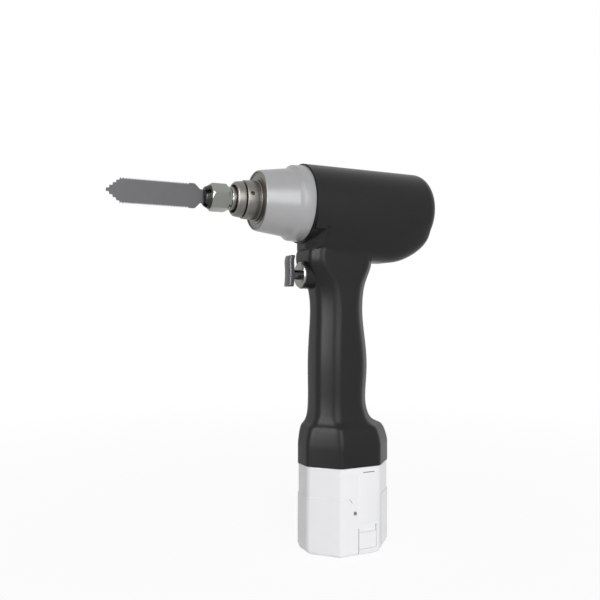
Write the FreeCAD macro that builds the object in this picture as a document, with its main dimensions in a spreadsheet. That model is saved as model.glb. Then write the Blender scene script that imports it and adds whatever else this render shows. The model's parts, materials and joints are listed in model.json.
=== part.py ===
import FreeCAD, Part
import math
import os

import Sketcher

# A cordless reciprocating bone saw, in millimetres.
# The nose and the blade point to -X, the rear cap to +X, and +Z is up.
# The origin is the middle of the battery's flat base, on which the saw stands.

DRIVING = {
    # battery and foot: a rounded octagon, long side along the barrel
    "battery_depth": 58.0,
    "battery_width": 45.0,
    "battery_height": 54.0,
    "octagon_chamfer": 15.5,
    "octagon_rounding": 5.0,
    "battery_wall": 2.2,
    "battery_floor": 2.5,
    "battery_edge": 4.0,
    "cover_thickness": 0.5,
    "cover_top": 35.6,
    "cover_bottom": 4.4,
    "front_cover_edge": -5.2,
    "rear_cover_edge": 16.0,
    "cover_rounding": 6.0,
    "button_left": -1.2,
    "button_length": 12.3,
    "button_bottom": 4.6,
    "button_height": 13.8,
    "button_thickness": 3.6,
    "button_travel": 1.5,
    "button_recess": 4.3,
    "button_spring_radius": 0.6,
    "cover_pin_radius": 1.0,
    "cover_pin_height": 26.6,
    "lid_thickness": 3.0,
    "cell_radius": 9.0,
    "cell_headroom": 8.5,
    "cell_spacing": 9.3,
    "contact_spacing": 12.0,
    "contact_width": 6.0,
    "contact_thickness": 1.0,
    "contact_reach": 6.0,
    "contact_block_height": 6.5,
    "contact_block_margin": 16.0,
    # foot, grip and neck of the housing
    "foot_straight": 10.0,
    "foot_hollow": 13.0,
    "shoulder_height": 22.0,
    "grip_front_low": -22.6,
    "grip_rear_low": 13.9,
    "grip_half_width_low": 16.6,
    "grip_top_drop": 65.0,
    "grip_front_high": -21.4,
    "grip_rear_high": 10.8,
    "grip_half_width_high": 15.5,
    "grip_chamfer": 9.0,
    "grip_rounding": 8.5,
    "neck_drop": 36.0,
    "neck_front": -29.0,
    "neck_rear": 15.0,
    "neck_half_width": 16.0,
    "neck_chamfer": 6.0,
    "neck_rounding": 5.0,
    "neck_top_drop": 12.0,
    "neck_top_rear": 27.0,
    "neck_top_inset": 4.6,
    "grip_wall": 2.6,
    "hollow_reach": 5.0,
    # barrel of the housing
    "barrel_height": 215.0,
    "barrel_radius": 24.6,
    "barrel_wall": 2.4,
    "barrel_front": -31.0,
    "barrel_rear": 57.2,
    "dome_rounding": 8.0,
    "cap_seam": 54.3,
    "cap_spigot": 3.0,
    "cap_screw_inset": 6.8,
    "cap_head_seat": 0.8,
    "cap_screw_head": 1.8,
    "cap_screw_head_height": 1.3,
    "cap_screw_shank": 0.95,
    "cap_screw_depth": 6.0,
    "motor_bore_start": 43.0,
    "motor_bore_end": 47.5,
    "rear_opening_inset": 10.6,
    "keel_inset": 0.3,
    "keel_reach": 10.3,
    "keel_rear": 54.0,
    "keel_top": 2.0,
    # nose
    "nose_length": 29.6,
    "flange_length": 4.5,
    "nose_rim_inset": 7.2,
    "nose_front_inset": 5.0,
    "nose_back_inset": 2.9,
    "nose_wall": 3.4,
    "spigot_length": 7.0,
    "nose_rim_length": 2.2,
    "flange_slope": 3.2,
    "spigot_lead": 3.0,
    "nose_seal_width": 1.2,
    "nose_seal_depth": 1.3,
    "plate_recess": 0.7,
    "plate_land": 0.4,
    "plate_thickness": 3.0,
    "plate_inset": 7.8,
    # collars, bushes and ram
    "lock_collar_radius": 12.0,
    "lock_collar_length": 6.5,
    "lock_hole_place": 2.0,
    "lock_screw_radius": 1.1,
    "wiper_cap_radius": 10.8,
    "wiper_cap_length": 4.2,
    "collar_groove": 0.6,
    "wiper_bore": 8.4,
    "wiper_cap_wall": 1.4,
    "seal_thickness": 1.6,
    "bush_radius": 6.5,
    "front_bush_lead": 0.3,
    "front_bush_reach": 11.0,
    "rear_bush_lead": 2.0,
    "rear_bush_reach": 3.8,
    "ram_radius": 3.4,
    "ram_ring_radius": 7.0,
    "ram_ring_length": 4.1,
    "ram_ring_front": -77.2,
    "thread_radius": 6.0,
    "thread_length": 7.5,
    # chuck and blade
    "nut_across_flats": 17.0,
    "nut_length": 10.5,
    "nut_gap": 0.9,
    "collet_length": 4.8,
    "collet_radius": 8.0,
    "collet_tip_radius": 5.6,
    "collet_shank_radius": 4.2,
    "collet_shank_length": 10.0,
    "notch_width": 2.8,
    "blade_thickness": 1.0,
    "blade_width": 14.4,
    "blade_tip_length": 7.5,
    "blade_blunt": 0.9,
    "blade_reach": 148.5,
    "blade_shoulder": 98.5,
    "blade_neck_width": 8.0,
    "blade_tang_end": 83.0,
    "tooth_pitch": 1.7,
    "tooth_depth": 1.0,
    # crank drive
    "crank_place": -12.0,
    "crank_throw": 2.5,
    "crank_pin_radius": 1.5,
    "roller_radius": 2.5,
    "slot_allowance": 0.55,
    "yoke_wall": 3.0,
    "yoke_thickness": 5.0,
    "crown_radius": 14.8,
    "crown_tooth_length": 3.4,
    "crown_thickness": 3.6,
    "gear_tooth_height": 1.3,
    "tip_clearance": 0.15,
    "pitch_radius": 4.35,
    "crank_shaft_radius": 4.0,
    "crank_bearing_radius": 8.0,
    "frame_thickness": 6.0,
    # motor
    "motor_ring_wall": 5.2,
    "motor_front": 10.0,
    "motor_length": 37.4,
    "can_wall": 1.5,
    "plate_of_motor": 2.0,
    "motor_shaft_radius": 2.0,
    "rotor_radius": 8.0,
    "rotor_end_gap": 7.0,
    "stator_end_gap": 6.0,
    "motor_bearing_width": 3.0,
    "motor_ring_length": 3.9,
    "motor_ring_place": 4.0,
    "motor_bearing_radius": 5.0,
    # trigger
    "trigger_drop": 44.0,
    "trigger_bush_front": -30.0,
    "trigger_front": -41.9,
    "trigger_depth": 6.0,
    "trigger_rise": 12.1,
    "trigger_fall": 13.0,
    "trigger_width": 13.0,
    "stem_radius": 3.0,
    "trigger_bush_radius": 8.0,
    "trigger_bush_body": 5.5,
    "trigger_bush_length": 11.0,
    "trigger_stem_reach": 19.0,
    "trigger_flange": 1.5,
    "stem_collar_length": 1.2,
    "magnet_length": 2.0,
    "sensor_side": 4.0,
    "sensor_thickness": 1.2,
    "spring_wire": 0.8,
    "trigger_travel": 4.0,
    "trigger_hole_depth": 30.0,
    "trigger_boss_depth": 14.0,
    "board_width": 20.0,
    "board_thickness": 1.6,
    "board_over_trigger": 8.0,
    # clearances
    "running_clearance": 0.1,
    "seat_clearance": 0.1,
}

CROWN_TEETH = 30
PINION_TEETH = 10
CAP_SCREWS = 3
HOLE_ANGLE = 22.0
TIP_TEETH = 4


class Size:
    """A length: its number, and the same sum in words, by which the sheet drives the piece."""

    def __init__(self, number, words):
        self.number = number
        self.words = words

    def __add__(self, other):
        other = as_size(other)
        return Size(self.number + other.number, f"({self.words} + {other.words})")

    def __sub__(self, other):
        other = as_size(other)
        return Size(self.number - other.number, f"({self.words} - {other.words})")

    def __rsub__(self, other):
        return as_size(other) - self

    def __mul__(self, factor):
        factor = as_size(factor)
        return Size(self.number * factor.number, f"({self.words} * {factor.words})")

    def __truediv__(self, divisor):
        divisor = as_size(divisor)
        return Size(self.number / divisor.number, f"({self.words} / {divisor.words})")

    def __neg__(self):
        return Size(-self.number, f"(0 - {self.words})")

    __radd__ = __add__
    __rmul__ = __mul__


def as_size(value):
    if isinstance(value, Size):
        return value
    return Size(float(value), f"({float(value):.9f})")


doc = FreeCAD.newDocument("bone_saw")
sheet = doc.addObject("Spreadsheet::Sheet", "sizes")
for row, (name, number) in enumerate(DRIVING.items(), start=1):
    sheet.set(f"A{row}", name)
    sheet.set(f"B{row}", str(number))
    sheet.setAlias(f"B{row}", name)
doc.recompute()
S = {name: Size(number, f"sizes.{name}") for name, number in DRIVING.items()}

pieces = []


def bind(item, prop, size):
    item.setExpression(prop, as_size(size).words)


def place(item, x=0, y=0, z=0):
    """Places a piece by its sizes."""
    bind(item, "Placement.Base.x", x)
    bind(item, "Placement.Base.y", y)
    bind(item, "Placement.Base.z", z)


def keep(item, label):
    """Names a finished sub-part and keeps it for the files."""
    item.Label = label
    pieces.append(item)
    return item


def new_body(name, x=0, y=0, z=0):
    body = doc.addObject("PartDesign::Body", name)
    place(body, x, y, z)
    return body


def new_sketch(body, plane, offset=0):
    sketch = body.newObject("Sketcher::SketchObject", body.Name + "_sketch")
    support = [feature for feature in body.Origin.OriginFeatures if feature.Role == plane][0]
    sketch.AttachmentSupport = [(support, "")]
    sketch.MapMode = "FlatFace"
    bind(sketch, "AttachmentOffset.Base.z", offset)
    return sketch


def fix_point(sketch, geometry, end, across, up):
    """Holds a point at its two distances from the sketch's origin."""
    for kind, size, axis in (("DistanceX", across, -2), ("DistanceY", up, -1)):
        if size.number == 0:
            sketch.addConstraint(Sketcher.Constraint("PointOnObject", geometry, end, axis))
        else:
            index = sketch.addConstraint(Sketcher.Constraint(kind, -1, 1, geometry, end, size.number))
            bind(sketch, f"Constraints[{index}]", size)


def add_loop(sketch, corners):
    """A closed outline through corners of (across, up) or (across, up, rounding)."""
    sizes = [[as_size(value) for value in corner] for corner in corners]
    points = [FreeCAD.Vector(corner[0].number, corner[1].number, 0) for corner in sizes]
    count = len(points)
    starts, ends, arcs = [], [], []
    for here in range(count):
        point = points[here]
        if len(sizes[here]) == 2:
            starts.append(point)
            ends.append(point)
            arcs.append(None)
            continue
        radius = sizes[here][2].number
        back = (points[here - 1] - point).normalize()
        ahead = (points[(here + 1) % count] - point).normalize()
        half = back.getAngle(ahead) / 2
        reach = radius / math.tan(half)
        centre = point + (back + ahead).normalize() * (radius / math.sin(half))
        ends.append(point + back * reach)
        starts.append(point + ahead * reach)
        arcs.append((centre, radius))
    lines = []
    for here in range(count):
        line = Part.LineSegment(starts[here], ends[(here + 1) % count])
        lines.append(sketch.addGeometry(line, False))
    for here in range(count):
        before, after = lines[here - 1], lines[here]
        across, up = sizes[here][:2]
        if arcs[here] is None:
            sketch.addConstraint(Sketcher.Constraint("Coincident", before, 2, after, 1))
            fix_point(sketch, after, 1, across, up)
            continue
        centre, radius = arcs[here]
        first = math.atan2(ends[here].y - centre.y, ends[here].x - centre.x)
        last = math.atan2(starts[here].y - centre.y, starts[here].x - centre.x)
        turns_left = (last - first) % (2 * math.pi) < math.pi
        if not turns_left:
            first, last = last, first
        last = first + (last - first) % (2 * math.pi)
        circle = Part.Circle(centre, FreeCAD.Vector(0, 0, 1), radius)
        arc = sketch.addGeometry(Part.ArcOfCircle(circle, first, last), False)
        near, far = (1, 2) if turns_left else (2, 1)
        sketch.addConstraint(Sketcher.Constraint("Tangent", before, 2, arc, near))
        sketch.addConstraint(Sketcher.Constraint("Tangent", after, 1, arc, far))
        index = sketch.addConstraint(Sketcher.Constraint("Radius", arc, radius))
        bind(sketch, f"Constraints[{index}]", sizes[here][2])
        corner = sketch.addGeometry(Part.Point(points[here]), True)
        fix_point(sketch, corner, 1, across, up)
        sketch.addConstraint(Sketcher.Constraint("PointOnObject", corner, 1, before))
        sketch.addConstraint(Sketcher.Constraint("PointOnObject", corner, 1, after))


def outline(body, plane, corners, offset=0):
    sketch = new_sketch(body, plane, offset)
    add_loop(sketch, corners)
    return sketch


def round_outline(body, plane, across, up, radius, offset=0):
    """A circle on one of the body's planes."""
    across, up, radius = as_size(across), as_size(up), as_size(radius)
    sketch = new_sketch(body, plane, offset)
    centre = FreeCAD.Vector(across.number, up.number, 0)
    circle = sketch.addGeometry(Part.Circle(centre, FreeCAD.Vector(0, 0, 1), radius.number), False)
    index = sketch.addConstraint(Sketcher.Constraint("Radius", circle, radius.number))
    bind(sketch, f"Constraints[{index}]", radius)
    fix_point(sketch, circle, 3, across, up)
    return sketch


def feature(body, kind, sketch, **settings):
    """Adds a sketched feature and sets it up."""
    item = body.newObject("PartDesign::" + kind, body.Name + "_" + kind.lower())
    item.Profile = sketch
    for name, value in settings.items():
        if isinstance(value, Size):
            bind(item, name, value)
        else:
            setattr(item, name, value)
    return item


def pad(body, sketch, length, **settings):
    return feature(body, "Pad", sketch, Length=as_size(length), **settings)


def slab(body, sketch, length):
    """A pad of this thickness, half on each side of its sketch."""
    return pad(body, sketch, length, SideType="Symmetric")


def pocket(body, sketch, depth, **settings):
    """A cut, which has to take something away."""
    doc.recompute()
    before = body.Shape.Volume
    item = feature(body, "Pocket", sketch, Length=as_size(depth), **settings)
    doc.recompute()
    if body.Shape.Volume > before - 1e-3:
        raise ValueError(f"{item.Label} cuts nothing")
    return item


def round_edges(body, chosen, radius):
    """Rounds the edges of the body that the test chooses."""
    doc.recompute()
    base = body.Tip
    edges = enumerate(body.Shape.Edges, 1)
    names = [f"Edge{number}" for number, edge in edges if chosen(edge.BoundBox)]
    item = body.newObject("PartDesign::Fillet", body.Name + "_rounding")
    item.Base = (base, names)
    bind(item, "Radius", radius)
    doc.recompute()


def turn(body, sketch, kind="Revolution", axis="H_Axis"):
    """Turns a profile about a sketch axis: a solid, or a groove in the solid."""
    return feature(body, kind, sketch, ReferenceAxis=(sketch, [axis]), Angle=360)


def turned(label, profile, height):
    """A piece turned about an axis along the barrel. Its profile is in (along, radius)."""
    body = new_body(label, z=height)
    turn(body, outline(body, "XZ_Plane", profile))
    return keep(body, label)


def ring(label, start, end, inner, outer, height):
    """A plain ring, or a disc where the inner radius is nothing."""
    return turned(label, [(start, inner), (end, inner), (end, outer), (start, outer)], height)


def octagon(front, rear, half_width, chamfer, rounding):
    """The corners of a rounded octagon from its front and rear edge and its half width."""
    sides = [
        (front + chamfer, -half_width),
        (rear - chamfer, -half_width),
        (rear, chamfer - half_width),
        (rear, half_width - chamfer),
        (rear - chamfer, half_width),
        (front + chamfer, half_width),
        (front, half_width - chamfer),
        (front, chamfer - half_width),
    ]
    return [(across, up, rounding) for across, up in sides]


def inset(section, wall):
    """An octagon's sizes with a wall taken off all round."""
    front, rear, half_width, chamfer, rounding = section
    corner = wall * (2 - math.sqrt(2))
    return (front + wall, rear - wall, half_width - wall, chamfer - corner, rounding)


def mix(first, second, share):
    """A section between two sections."""
    return tuple(a + (b - a) * share for a, b in zip(first, second))


def block(name, lengths, corner):
    """A plain block from its lengths and its lowest corner."""
    item = doc.addObject("Part::Box", name)
    for prop, length in zip(("Length", "Width", "Height"), lengths):
        bind(item, prop, length)
    place(item, *corner)
    return item


def rod(name, radius, length, start, axis="Z"):
    """A cylinder from its start along +X, +Y, -Y or +Z."""
    item = doc.addObject("Part::Cylinder", name)
    bind(item, "Radius", radius)
    bind(item, "Height", length)
    turns = {"Z": ((0, 0, 1), 0), "X": ((0, 1, 0), 90), "Y": ((1, 0, 0), -90), "-Y": ((1, 0, 0), 90)}
    direction, angle = turns[axis]
    turn_to = FreeCAD.Rotation(FreeCAD.Vector(*direction), angle)
    item.Placement = FreeCAD.Placement(FreeCAD.Vector(), turn_to)
    place(item, *start)
    return item


def cut(name, base, *tools):
    """The base with each tool taken away in turn."""
    for number, tool in enumerate(tools):
        item = doc.addObject("Part::Cut", f"{name}_cut_{number}")
        item.Base = base
        item.Tool = tool
        base = item
    return base


def joined(name, *shapes):
    """One solid out of solids that run into each other."""
    item = doc.addObject("Part::MultiFuse", name)
    item.Shapes = list(shapes)
    return item


def group(label, items):
    """Separate pieces of one kind in one node."""
    item = doc.addObject("Part::Compound", label)
    item.Links = list(items)
    return keep(item, label)


HALF_DEPTH = S["battery_depth"] / 2
HALF_WIDTH = S["battery_width"] / 2
BATTERY = (-HALF_DEPTH, HALF_DEPTH, HALF_WIDTH, S["octagon_chamfer"], S["octagon_rounding"])
CASE = inset(BATTERY, S["cover_thickness"])
CELL_LENGTH = S["battery_height"] - S["battery_floor"] - S["cell_headroom"]
AXIS = S["barrel_height"]
RUN = S["running_clearance"]
SEAT = S["seat_clearance"]

FOOT_BOTTOM = S["battery_height"]
FOOT_TOP = FOOT_BOTTOM + S["foot_straight"]
HOLLOW_TOP = FOOT_BOTTOM + S["foot_hollow"]
GRIP_BOTTOM = FOOT_TOP + S["shoulder_height"]
NOSE_FRONT = S["barrel_front"] - S["nose_length"]
NECK_HEIGHT = AXIS - S["neck_drop"]
GRIP_TOP = AXIS - S["grip_top_drop"]
TRIGGER_HEIGHT = AXIS - S["trigger_drop"]
BARREL_BORE = S["barrel_radius"] - S["barrel_wall"]
KEEL_HALF_WIDTH = S["barrel_radius"] - S["keel_inset"]
KEEL_DEPTH = S["barrel_radius"] + S["keel_reach"]
PLATE_RADIUS = S["barrel_radius"] - S["plate_inset"]
REAR_OPENING = S["barrel_radius"] - S["rear_opening_inset"]
MOTOR_RADIUS = BARREL_BORE - S["motor_ring_wall"]
MOTOR_BORE = MOTOR_RADIUS + 1
BUSH_OUTSIDE = S["ram_radius"] + RUN


# The housing: barrel, neck, grip and foot in one casting
GRIP_CORNERS = (S["grip_chamfer"], S["grip_rounding"])
GRIP_LOW = (S["grip_front_low"], S["grip_rear_low"], S["grip_half_width_low"]) + GRIP_CORNERS
GRIP_HIGH = (S["grip_front_high"], S["grip_rear_high"], S["grip_half_width_high"]) + GRIP_CORNERS
NECK_CORNERS = (S["neck_chamfer"], S["neck_rounding"])
NECK = (S["neck_front"], S["neck_rear"], S["neck_half_width"]) + NECK_CORNERS
NECK_TOP = (S["neck_front"], S["neck_top_rear"], (S["barrel_radius"] - S["neck_top_inset"])) + NECK_CORNERS

# How the casting's sections follow one another: (share of the height, share of the change)
SHOULDER_CURVE = (
    (0, 0),
    (0.2, 0.03),
    (0.35, 0.1),
    (0.5, 0.2),
    (0.62, 0.36),
    (0.7, 0.62),
    (0.78, 0.8),
    (0.9, 0.94),
    (1, 1),
)
GRIP_CURVE = ((0, 0), (0.39, 0.15), (0.69, 0.45), (1, 1))
NECK_CURVE = ((0.35, 0.1), (0.65, 0.45), (0.85, 0.82), (1, 1))
# The keel along the barrel: (share of the length, share of the depth, share of the width)
KEEL_CURVE = (
    (0, 0.8, 1),
    (0.095, 0.92, 1),
    (0.202, 0.985, 1),
    (0.357, 1, 1),
    (0.714, 1, 1),
    (0.798, 0.965, 1),
    (0.881, 0.885, 1),
    (0.952, 0.78, 0.99),
    (1, 0.68, 0.935),
)


def shoulder_sections():
    """Sections from the octagonal foot in to the grip, each with its height."""
    height = S["shoulder_height"]
    return [(FOOT_TOP + height * rise, mix(BATTERY, GRIP_LOW, share)) for rise, share in SHOULDER_CURVE]


def grip_sections():
    """Sections of the grip and the neck from the bottom up, each with its height."""
    grip_length = GRIP_TOP - GRIP_BOTTOM
    neck_length = NECK_HEIGHT - GRIP_TOP
    sections = []
    for rise, share in GRIP_CURVE:
        sections.append((GRIP_BOTTOM + grip_length * rise, mix(GRIP_LOW, GRIP_HIGH, share)))
    for rise, share in NECK_CURVE:
        sections.append((GRIP_TOP + neck_length * rise, mix(GRIP_HIGH, NECK, share)))
    sections.append((AXIS - S["neck_top_drop"], NECK_TOP))
    return sections


def lofted(body, sketches):
    first, *rest = sketches
    loft = feature(body, "AdditiveLoft", first, Sections=rest)
    return loft


def dome_profile():
    """The barrel's outside in (along, radius), with the domed rear."""
    return [
        (S["barrel_front"], 0),
        (S["barrel_front"], S["barrel_radius"]),
        (S["barrel_rear"], S["barrel_radius"], S["dome_rounding"]),
        (S["barrel_rear"], 0),
    ]


def keel_section(depth, side):
    """The egg-shaped underside of the barrel, in (across, height over the barrel's axis)."""
    top = S["keel_top"]
    waist = depth * -0.28
    bottom = side * 0.6
    return [
        (-side, top),
        (-side, waist, 28),
        (-bottom, -depth, 13),
        (bottom, -depth, 13),
        (side, waist, 28),
        (side, top),
    ]


def make_housing():
    barrel = new_body("barrel_outside", z=AXIS)
    turn(barrel, outline(barrel, "XZ_Plane", dome_profile()))
    beyond, behind = S["barrel_radius"] * 1.5, S["barrel_rear"] + 5
    rear = [(S["cap_seam"], 0), (S["cap_seam"], beyond), (behind, beyond), (behind, 0)]
    turn(barrel, outline(barrel, "XZ_Plane", rear), kind="Groove")

    keel = new_body("barrel_keel", z=AXIS)
    start = S["barrel_front"] + 1
    length = S["keel_rear"] - start
    sketches = []
    for along, deep, wide in KEEL_CURVE:
        section = keel_section(KEEL_DEPTH * deep, KEEL_HALF_WIDTH * wide)
        sketches.append(outline(keel, "YZ_Plane", section, start + length * along))
    lofted(keel, sketches)

    foot = new_body("foot_outside")
    pad(foot, outline(foot, "XY_Plane", octagon(*BATTERY), FOOT_BOTTOM), S["foot_straight"])
    grips = []
    for name, sections in (("shoulder", shoulder_sections()), ("grip", grip_sections())):
        grip = new_body(name + "_outside")
        sketches = [outline(grip, "XY_Plane", octagon(*section), height) for height, section in sections]
        lofted(grip, sketches)
        grips.append(grip)

    bush_front = S["trigger_bush_front"]
    trigger_spot = (bush_front, 0, TRIGGER_HEIGHT)
    boss = rod("trigger_boss", S["trigger_bush_radius"] + 0.5, S["trigger_boss_depth"], trigger_spot, "X")
    outside = joined("housing_outside", barrel, keel, foot, *grips, boss)

    bore = new_body("barrel_inside", z=AXIS)
    profile = [
        (S["barrel_front"] - 1, 0),
        (S["barrel_front"] - 1, BARREL_BORE),
        (S["motor_bore_start"], BARREL_BORE),
        (S["motor_bore_start"], MOTOR_BORE),
        (S["motor_bore_end"], MOTOR_BORE),
        (S["motor_bore_end"], REAR_OPENING),
        (S["cap_seam"] + 1, REAR_OPENING),
        (S["cap_seam"] + 1, 0),
    ]
    turn(bore, outline(bore, "XZ_Plane", profile))

    hollow = new_body("grip_inside")
    wall = S["grip_wall"]
    section = inset(GRIP_HIGH, wall)
    top = AXIS - BARREL_BORE + S["hollow_reach"]
    pad(hollow, outline(hollow, "XY_Plane", octagon(*section), HOLLOW_TOP - 2), top - HOLLOW_TOP + 2)
    foot = new_body("foot_inside")
    foot_section = octagon(*inset(BATTERY, wall))
    pad(foot, outline(foot, "XY_Plane", foot_section, FOOT_BOTTOM - 1), S["foot_hollow"] + 1)
    reach = S["trigger_bush_body"] + SEAT
    trigger_spot = (bush_front - 1, 0, TRIGGER_HEIGHT)
    trigger_hole = rod("trigger_hole", reach, S["trigger_hole_depth"], trigger_spot, "X")
    nose_room = rod("nose_room", S["barrel_radius"] + SEAT, S["nose_length"], (NOSE_FRONT, 0, AXIS), "X")
    thread = S["cap_screw_shank"] + SEAT / 2
    depth = S["cap_screw_depth"] + 1
    screw_holes = cap_screw_rods("cap_thread", thread, S["cap_seam"] - depth, depth + 1)
    keep(cut("housing", outside, bore, hollow, foot, trigger_hole, nose_room, *screw_holes), "main_housing")


def cap_screw_rods(name, radius, start, length):
    """A rod at each of the rear cap's screws."""
    rods = []
    circle = (S["barrel_radius"] - S["cap_screw_inset"])
    for number in range(CAP_SCREWS):
        angle = math.radians(90 + 360 / CAP_SCREWS * number)
        across, up = circle * math.cos(angle), AXIS + circle * math.sin(angle)
        rods.append(rod(f"{name}_{number}", radius, length, (start, across, up), "X"))
    return rods


def make_rear_cap():
    dome = new_body("cap_outside", z=AXIS)
    turn(dome, outline(dome, "XZ_Plane", dome_profile()))
    ahead, seam = S["barrel_front"] - 5, S["cap_seam"]
    beyond = S["barrel_radius"] * 1.5
    front = [(ahead, 0), (ahead, beyond), (seam, beyond), (seam, 0)]
    turn(dome, outline(dome, "XZ_Plane", front), kind="Groove")
    reach = S["cap_spigot"]
    spigot_radius = REAR_OPENING - SEAT
    spigot = rod("cap_spigot", spigot_radius, reach, (S["cap_seam"] - reach, 0, AXIS), "X")
    solid = joined("cap_solid", dome, spigot)
    seat = S["cap_seam"] + S["cap_head_seat"]
    through = S["barrel_rear"] - S["cap_seam"] + reach + 2
    holes = cap_screw_rods("cap_hole", S["cap_screw_shank"] + SEAT * 2, S["cap_seam"] - reach - 1, through)
    heads = cap_screw_rods("cap_head_hole", S["cap_screw_head"] + SEAT * 2, seat, through)
    keep(cut("cap", solid, *holes, *heads), "rear_cap")
    depth = S["cap_screw_depth"]
    length = depth + S["cap_head_seat"] + S["cap_screw_head_height"] * 0.5
    shanks = cap_screw_rods("cap_screw_shank", S["cap_screw_shank"], S["cap_seam"] - depth, length)
    heads = cap_screw_rods("cap_screw_head", S["cap_screw_head"], seat, S["cap_screw_head_height"])
    screws = [joined(f"cap_screw_{number}", *pair) for number, pair in enumerate(zip(shanks, heads))]
    group("cap_screws", screws)


# The nose and its collars
COLLAR_REAR = NOSE_FRONT + S["plate_recess"] - S["plate_land"]
COLLAR_FRONT = COLLAR_REAR - S["lock_collar_length"]
CAP_REAR = COLLAR_FRONT - S["collar_groove"]
CAP_FRONT = CAP_REAR - S["wiper_cap_length"]


def make_nose():
    outside = S["barrel_radius"]
    rim, front = outside - S["nose_rim_inset"], outside - S["nose_front_inset"]
    back = outside - S["nose_back_inset"]
    rear = S["barrel_front"]
    step = rear - S["flange_length"]
    inner = front - S["nose_wall"]
    plate_front = NOSE_FRONT + S["plate_recess"]
    plate_back = plate_front + S["plate_thickness"]
    spigot = BARREL_BORE - SEAT
    seal = rear + S["spigot_length"] * 0.5
    seal_width, seal_depth = S["nose_seal_width"], S["nose_seal_depth"]
    profile = [
        (NOSE_FRONT, PLATE_RADIUS + SEAT),
        (NOSE_FRONT, rim),
        (NOSE_FRONT + S["nose_rim_length"], front, 3),
        (step - S["flange_slope"], back, 12),
        (step, S["barrel_radius"]),
        (rear, S["barrel_radius"]),
        (rear, spigot),
        (seal - SEAT, spigot),
        (seal - SEAT, spigot - seal_depth),
        (seal + SEAT + seal_width, spigot - seal_depth),
        (seal + SEAT + seal_width, spigot),
        (rear + S["spigot_length"], spigot),
        (rear + S["spigot_length"], spigot - S["nose_wall"]),
        (rear - S["spigot_lead"], spigot - S["nose_wall"]),
        (rear - S["spigot_lead"] * 2, inner),
        (plate_back + 2, inner),
        (plate_back + 2, inner - 3),
        (plate_back, inner - 3),
        (plate_back, PLATE_RADIUS + SEAT),
    ]
    turned("nose_housing", profile, AXIS)
    land = S["lock_collar_radius"] + 2
    profile = [
        (COLLAR_REAR, S["bush_radius"] + SEAT),
        (COLLAR_REAR, land),
        (plate_front, land),
        (plate_front, PLATE_RADIUS),
        (plate_back, PLATE_RADIUS),
        (plate_back, S["bush_radius"] + SEAT),
    ]
    turned("nose_plate", profile, AXIS)
    ring("nose_seal", seal, seal + seal_width, spigot - seal_depth + SEAT, spigot, AXIS)


def make_collars():
    radius = S["lock_collar_radius"]
    body = new_body("collar_turned", z=AXIS)
    profile = [
        (COLLAR_FRONT, S["bush_radius"] + SEAT),
        (COLLAR_FRONT, radius - 0.5),
        (COLLAR_FRONT + 0.5, radius),
        (COLLAR_REAR - 1, radius),
        (COLLAR_REAR - 0.7, radius + 0.5),
        (COLLAR_REAR, radius + 0.5),
        (COLLAR_REAR, S["bush_radius"] + SEAT),
    ]
    turn(body, outline(body, "XZ_Plane", profile))
    angle = math.radians(HOLE_ANGLE)
    along = COLLAR_REAR - S["lock_hole_place"]
    direction = FreeCAD.Vector(0, -math.cos(angle), math.sin(angle))

    def radial_rod(name, rod_radius, inner, length):
        """A rod that stands out of the collar towards the cross hole."""
        item = rod(name, rod_radius, length, (along, inner * direction.y, AXIS + inner * direction.z))
        spot = item.Placement.Base
        turn_to = FreeCAD.Rotation(FreeCAD.Vector(0, 0, 1), direction)
        item.Placement = FreeCAD.Placement(spot, turn_to)
        return item

    hole_start = S["bush_radius"] - 1
    hole = radial_rod("lock_hole", S["lock_screw_radius"] + 0.05, hole_start, 8)
    keep(cut("collar", body, hole), "lock_collar")
    screw_length = radius - S["bush_radius"] - 1.2
    screw_start = S["bush_radius"] + SEAT / 2
    screw = radial_rod("lock_screw_rod", S["lock_screw_radius"], screw_start, screw_length)
    keep(screw, "lock_screw")
    radius = S["wiper_cap_radius"]
    wall = S["wiper_cap_wall"]
    profile = [
        (CAP_FRONT, S["wiper_bore"]),
        (CAP_FRONT, radius - 1.3),
        (CAP_FRONT + 1.1, radius),
        (CAP_REAR, radius),
        (CAP_REAR, radius - 1),
        (COLLAR_FRONT, radius - 1),
        (COLLAR_FRONT, S["ram_radius"] + RUN * 2),
        (COLLAR_FRONT - wall, S["ram_radius"] + RUN * 2),
        (COLLAR_FRONT - wall, S["wiper_bore"]),
    ]
    turned("wiper_cap", profile, AXIS)
    seal_back = COLLAR_FRONT - wall
    seal_front = seal_back - S["seal_thickness"]
    ring("wiper_seal", seal_front, seal_back, BUSH_OUTSIDE, S["wiper_bore"] - SEAT, AXIS)
    bush_start = COLLAR_FRONT + S["front_bush_lead"]
    bush_end = NOSE_FRONT + S["front_bush_reach"]
    ring("front_bush", bush_start, bush_end, BUSH_OUTSIDE, S["bush_radius"], AXIS)
    rear = S["barrel_front"]
    outside = BARREL_BORE - SEAT * 2 - S["nose_wall"]
    start, end = rear - S["rear_bush_lead"], rear + S["rear_bush_reach"]
    ring("rear_bush", start, end, BUSH_OUTSIDE, outside, AXIS)


# The ram, the chuck and the blade
RING_REAR = S["ram_ring_front"] + S["ram_ring_length"]
NUT_REAR = S["ram_ring_front"] - S["nut_gap"]
NUT_FRONT = NUT_REAR - S["nut_length"]
RAM_FRONT = NUT_REAR - S["thread_length"]
YOKE_HALF = S["roller_radius"] + S["slot_allowance"] + RUN + S["yoke_wall"]


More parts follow.
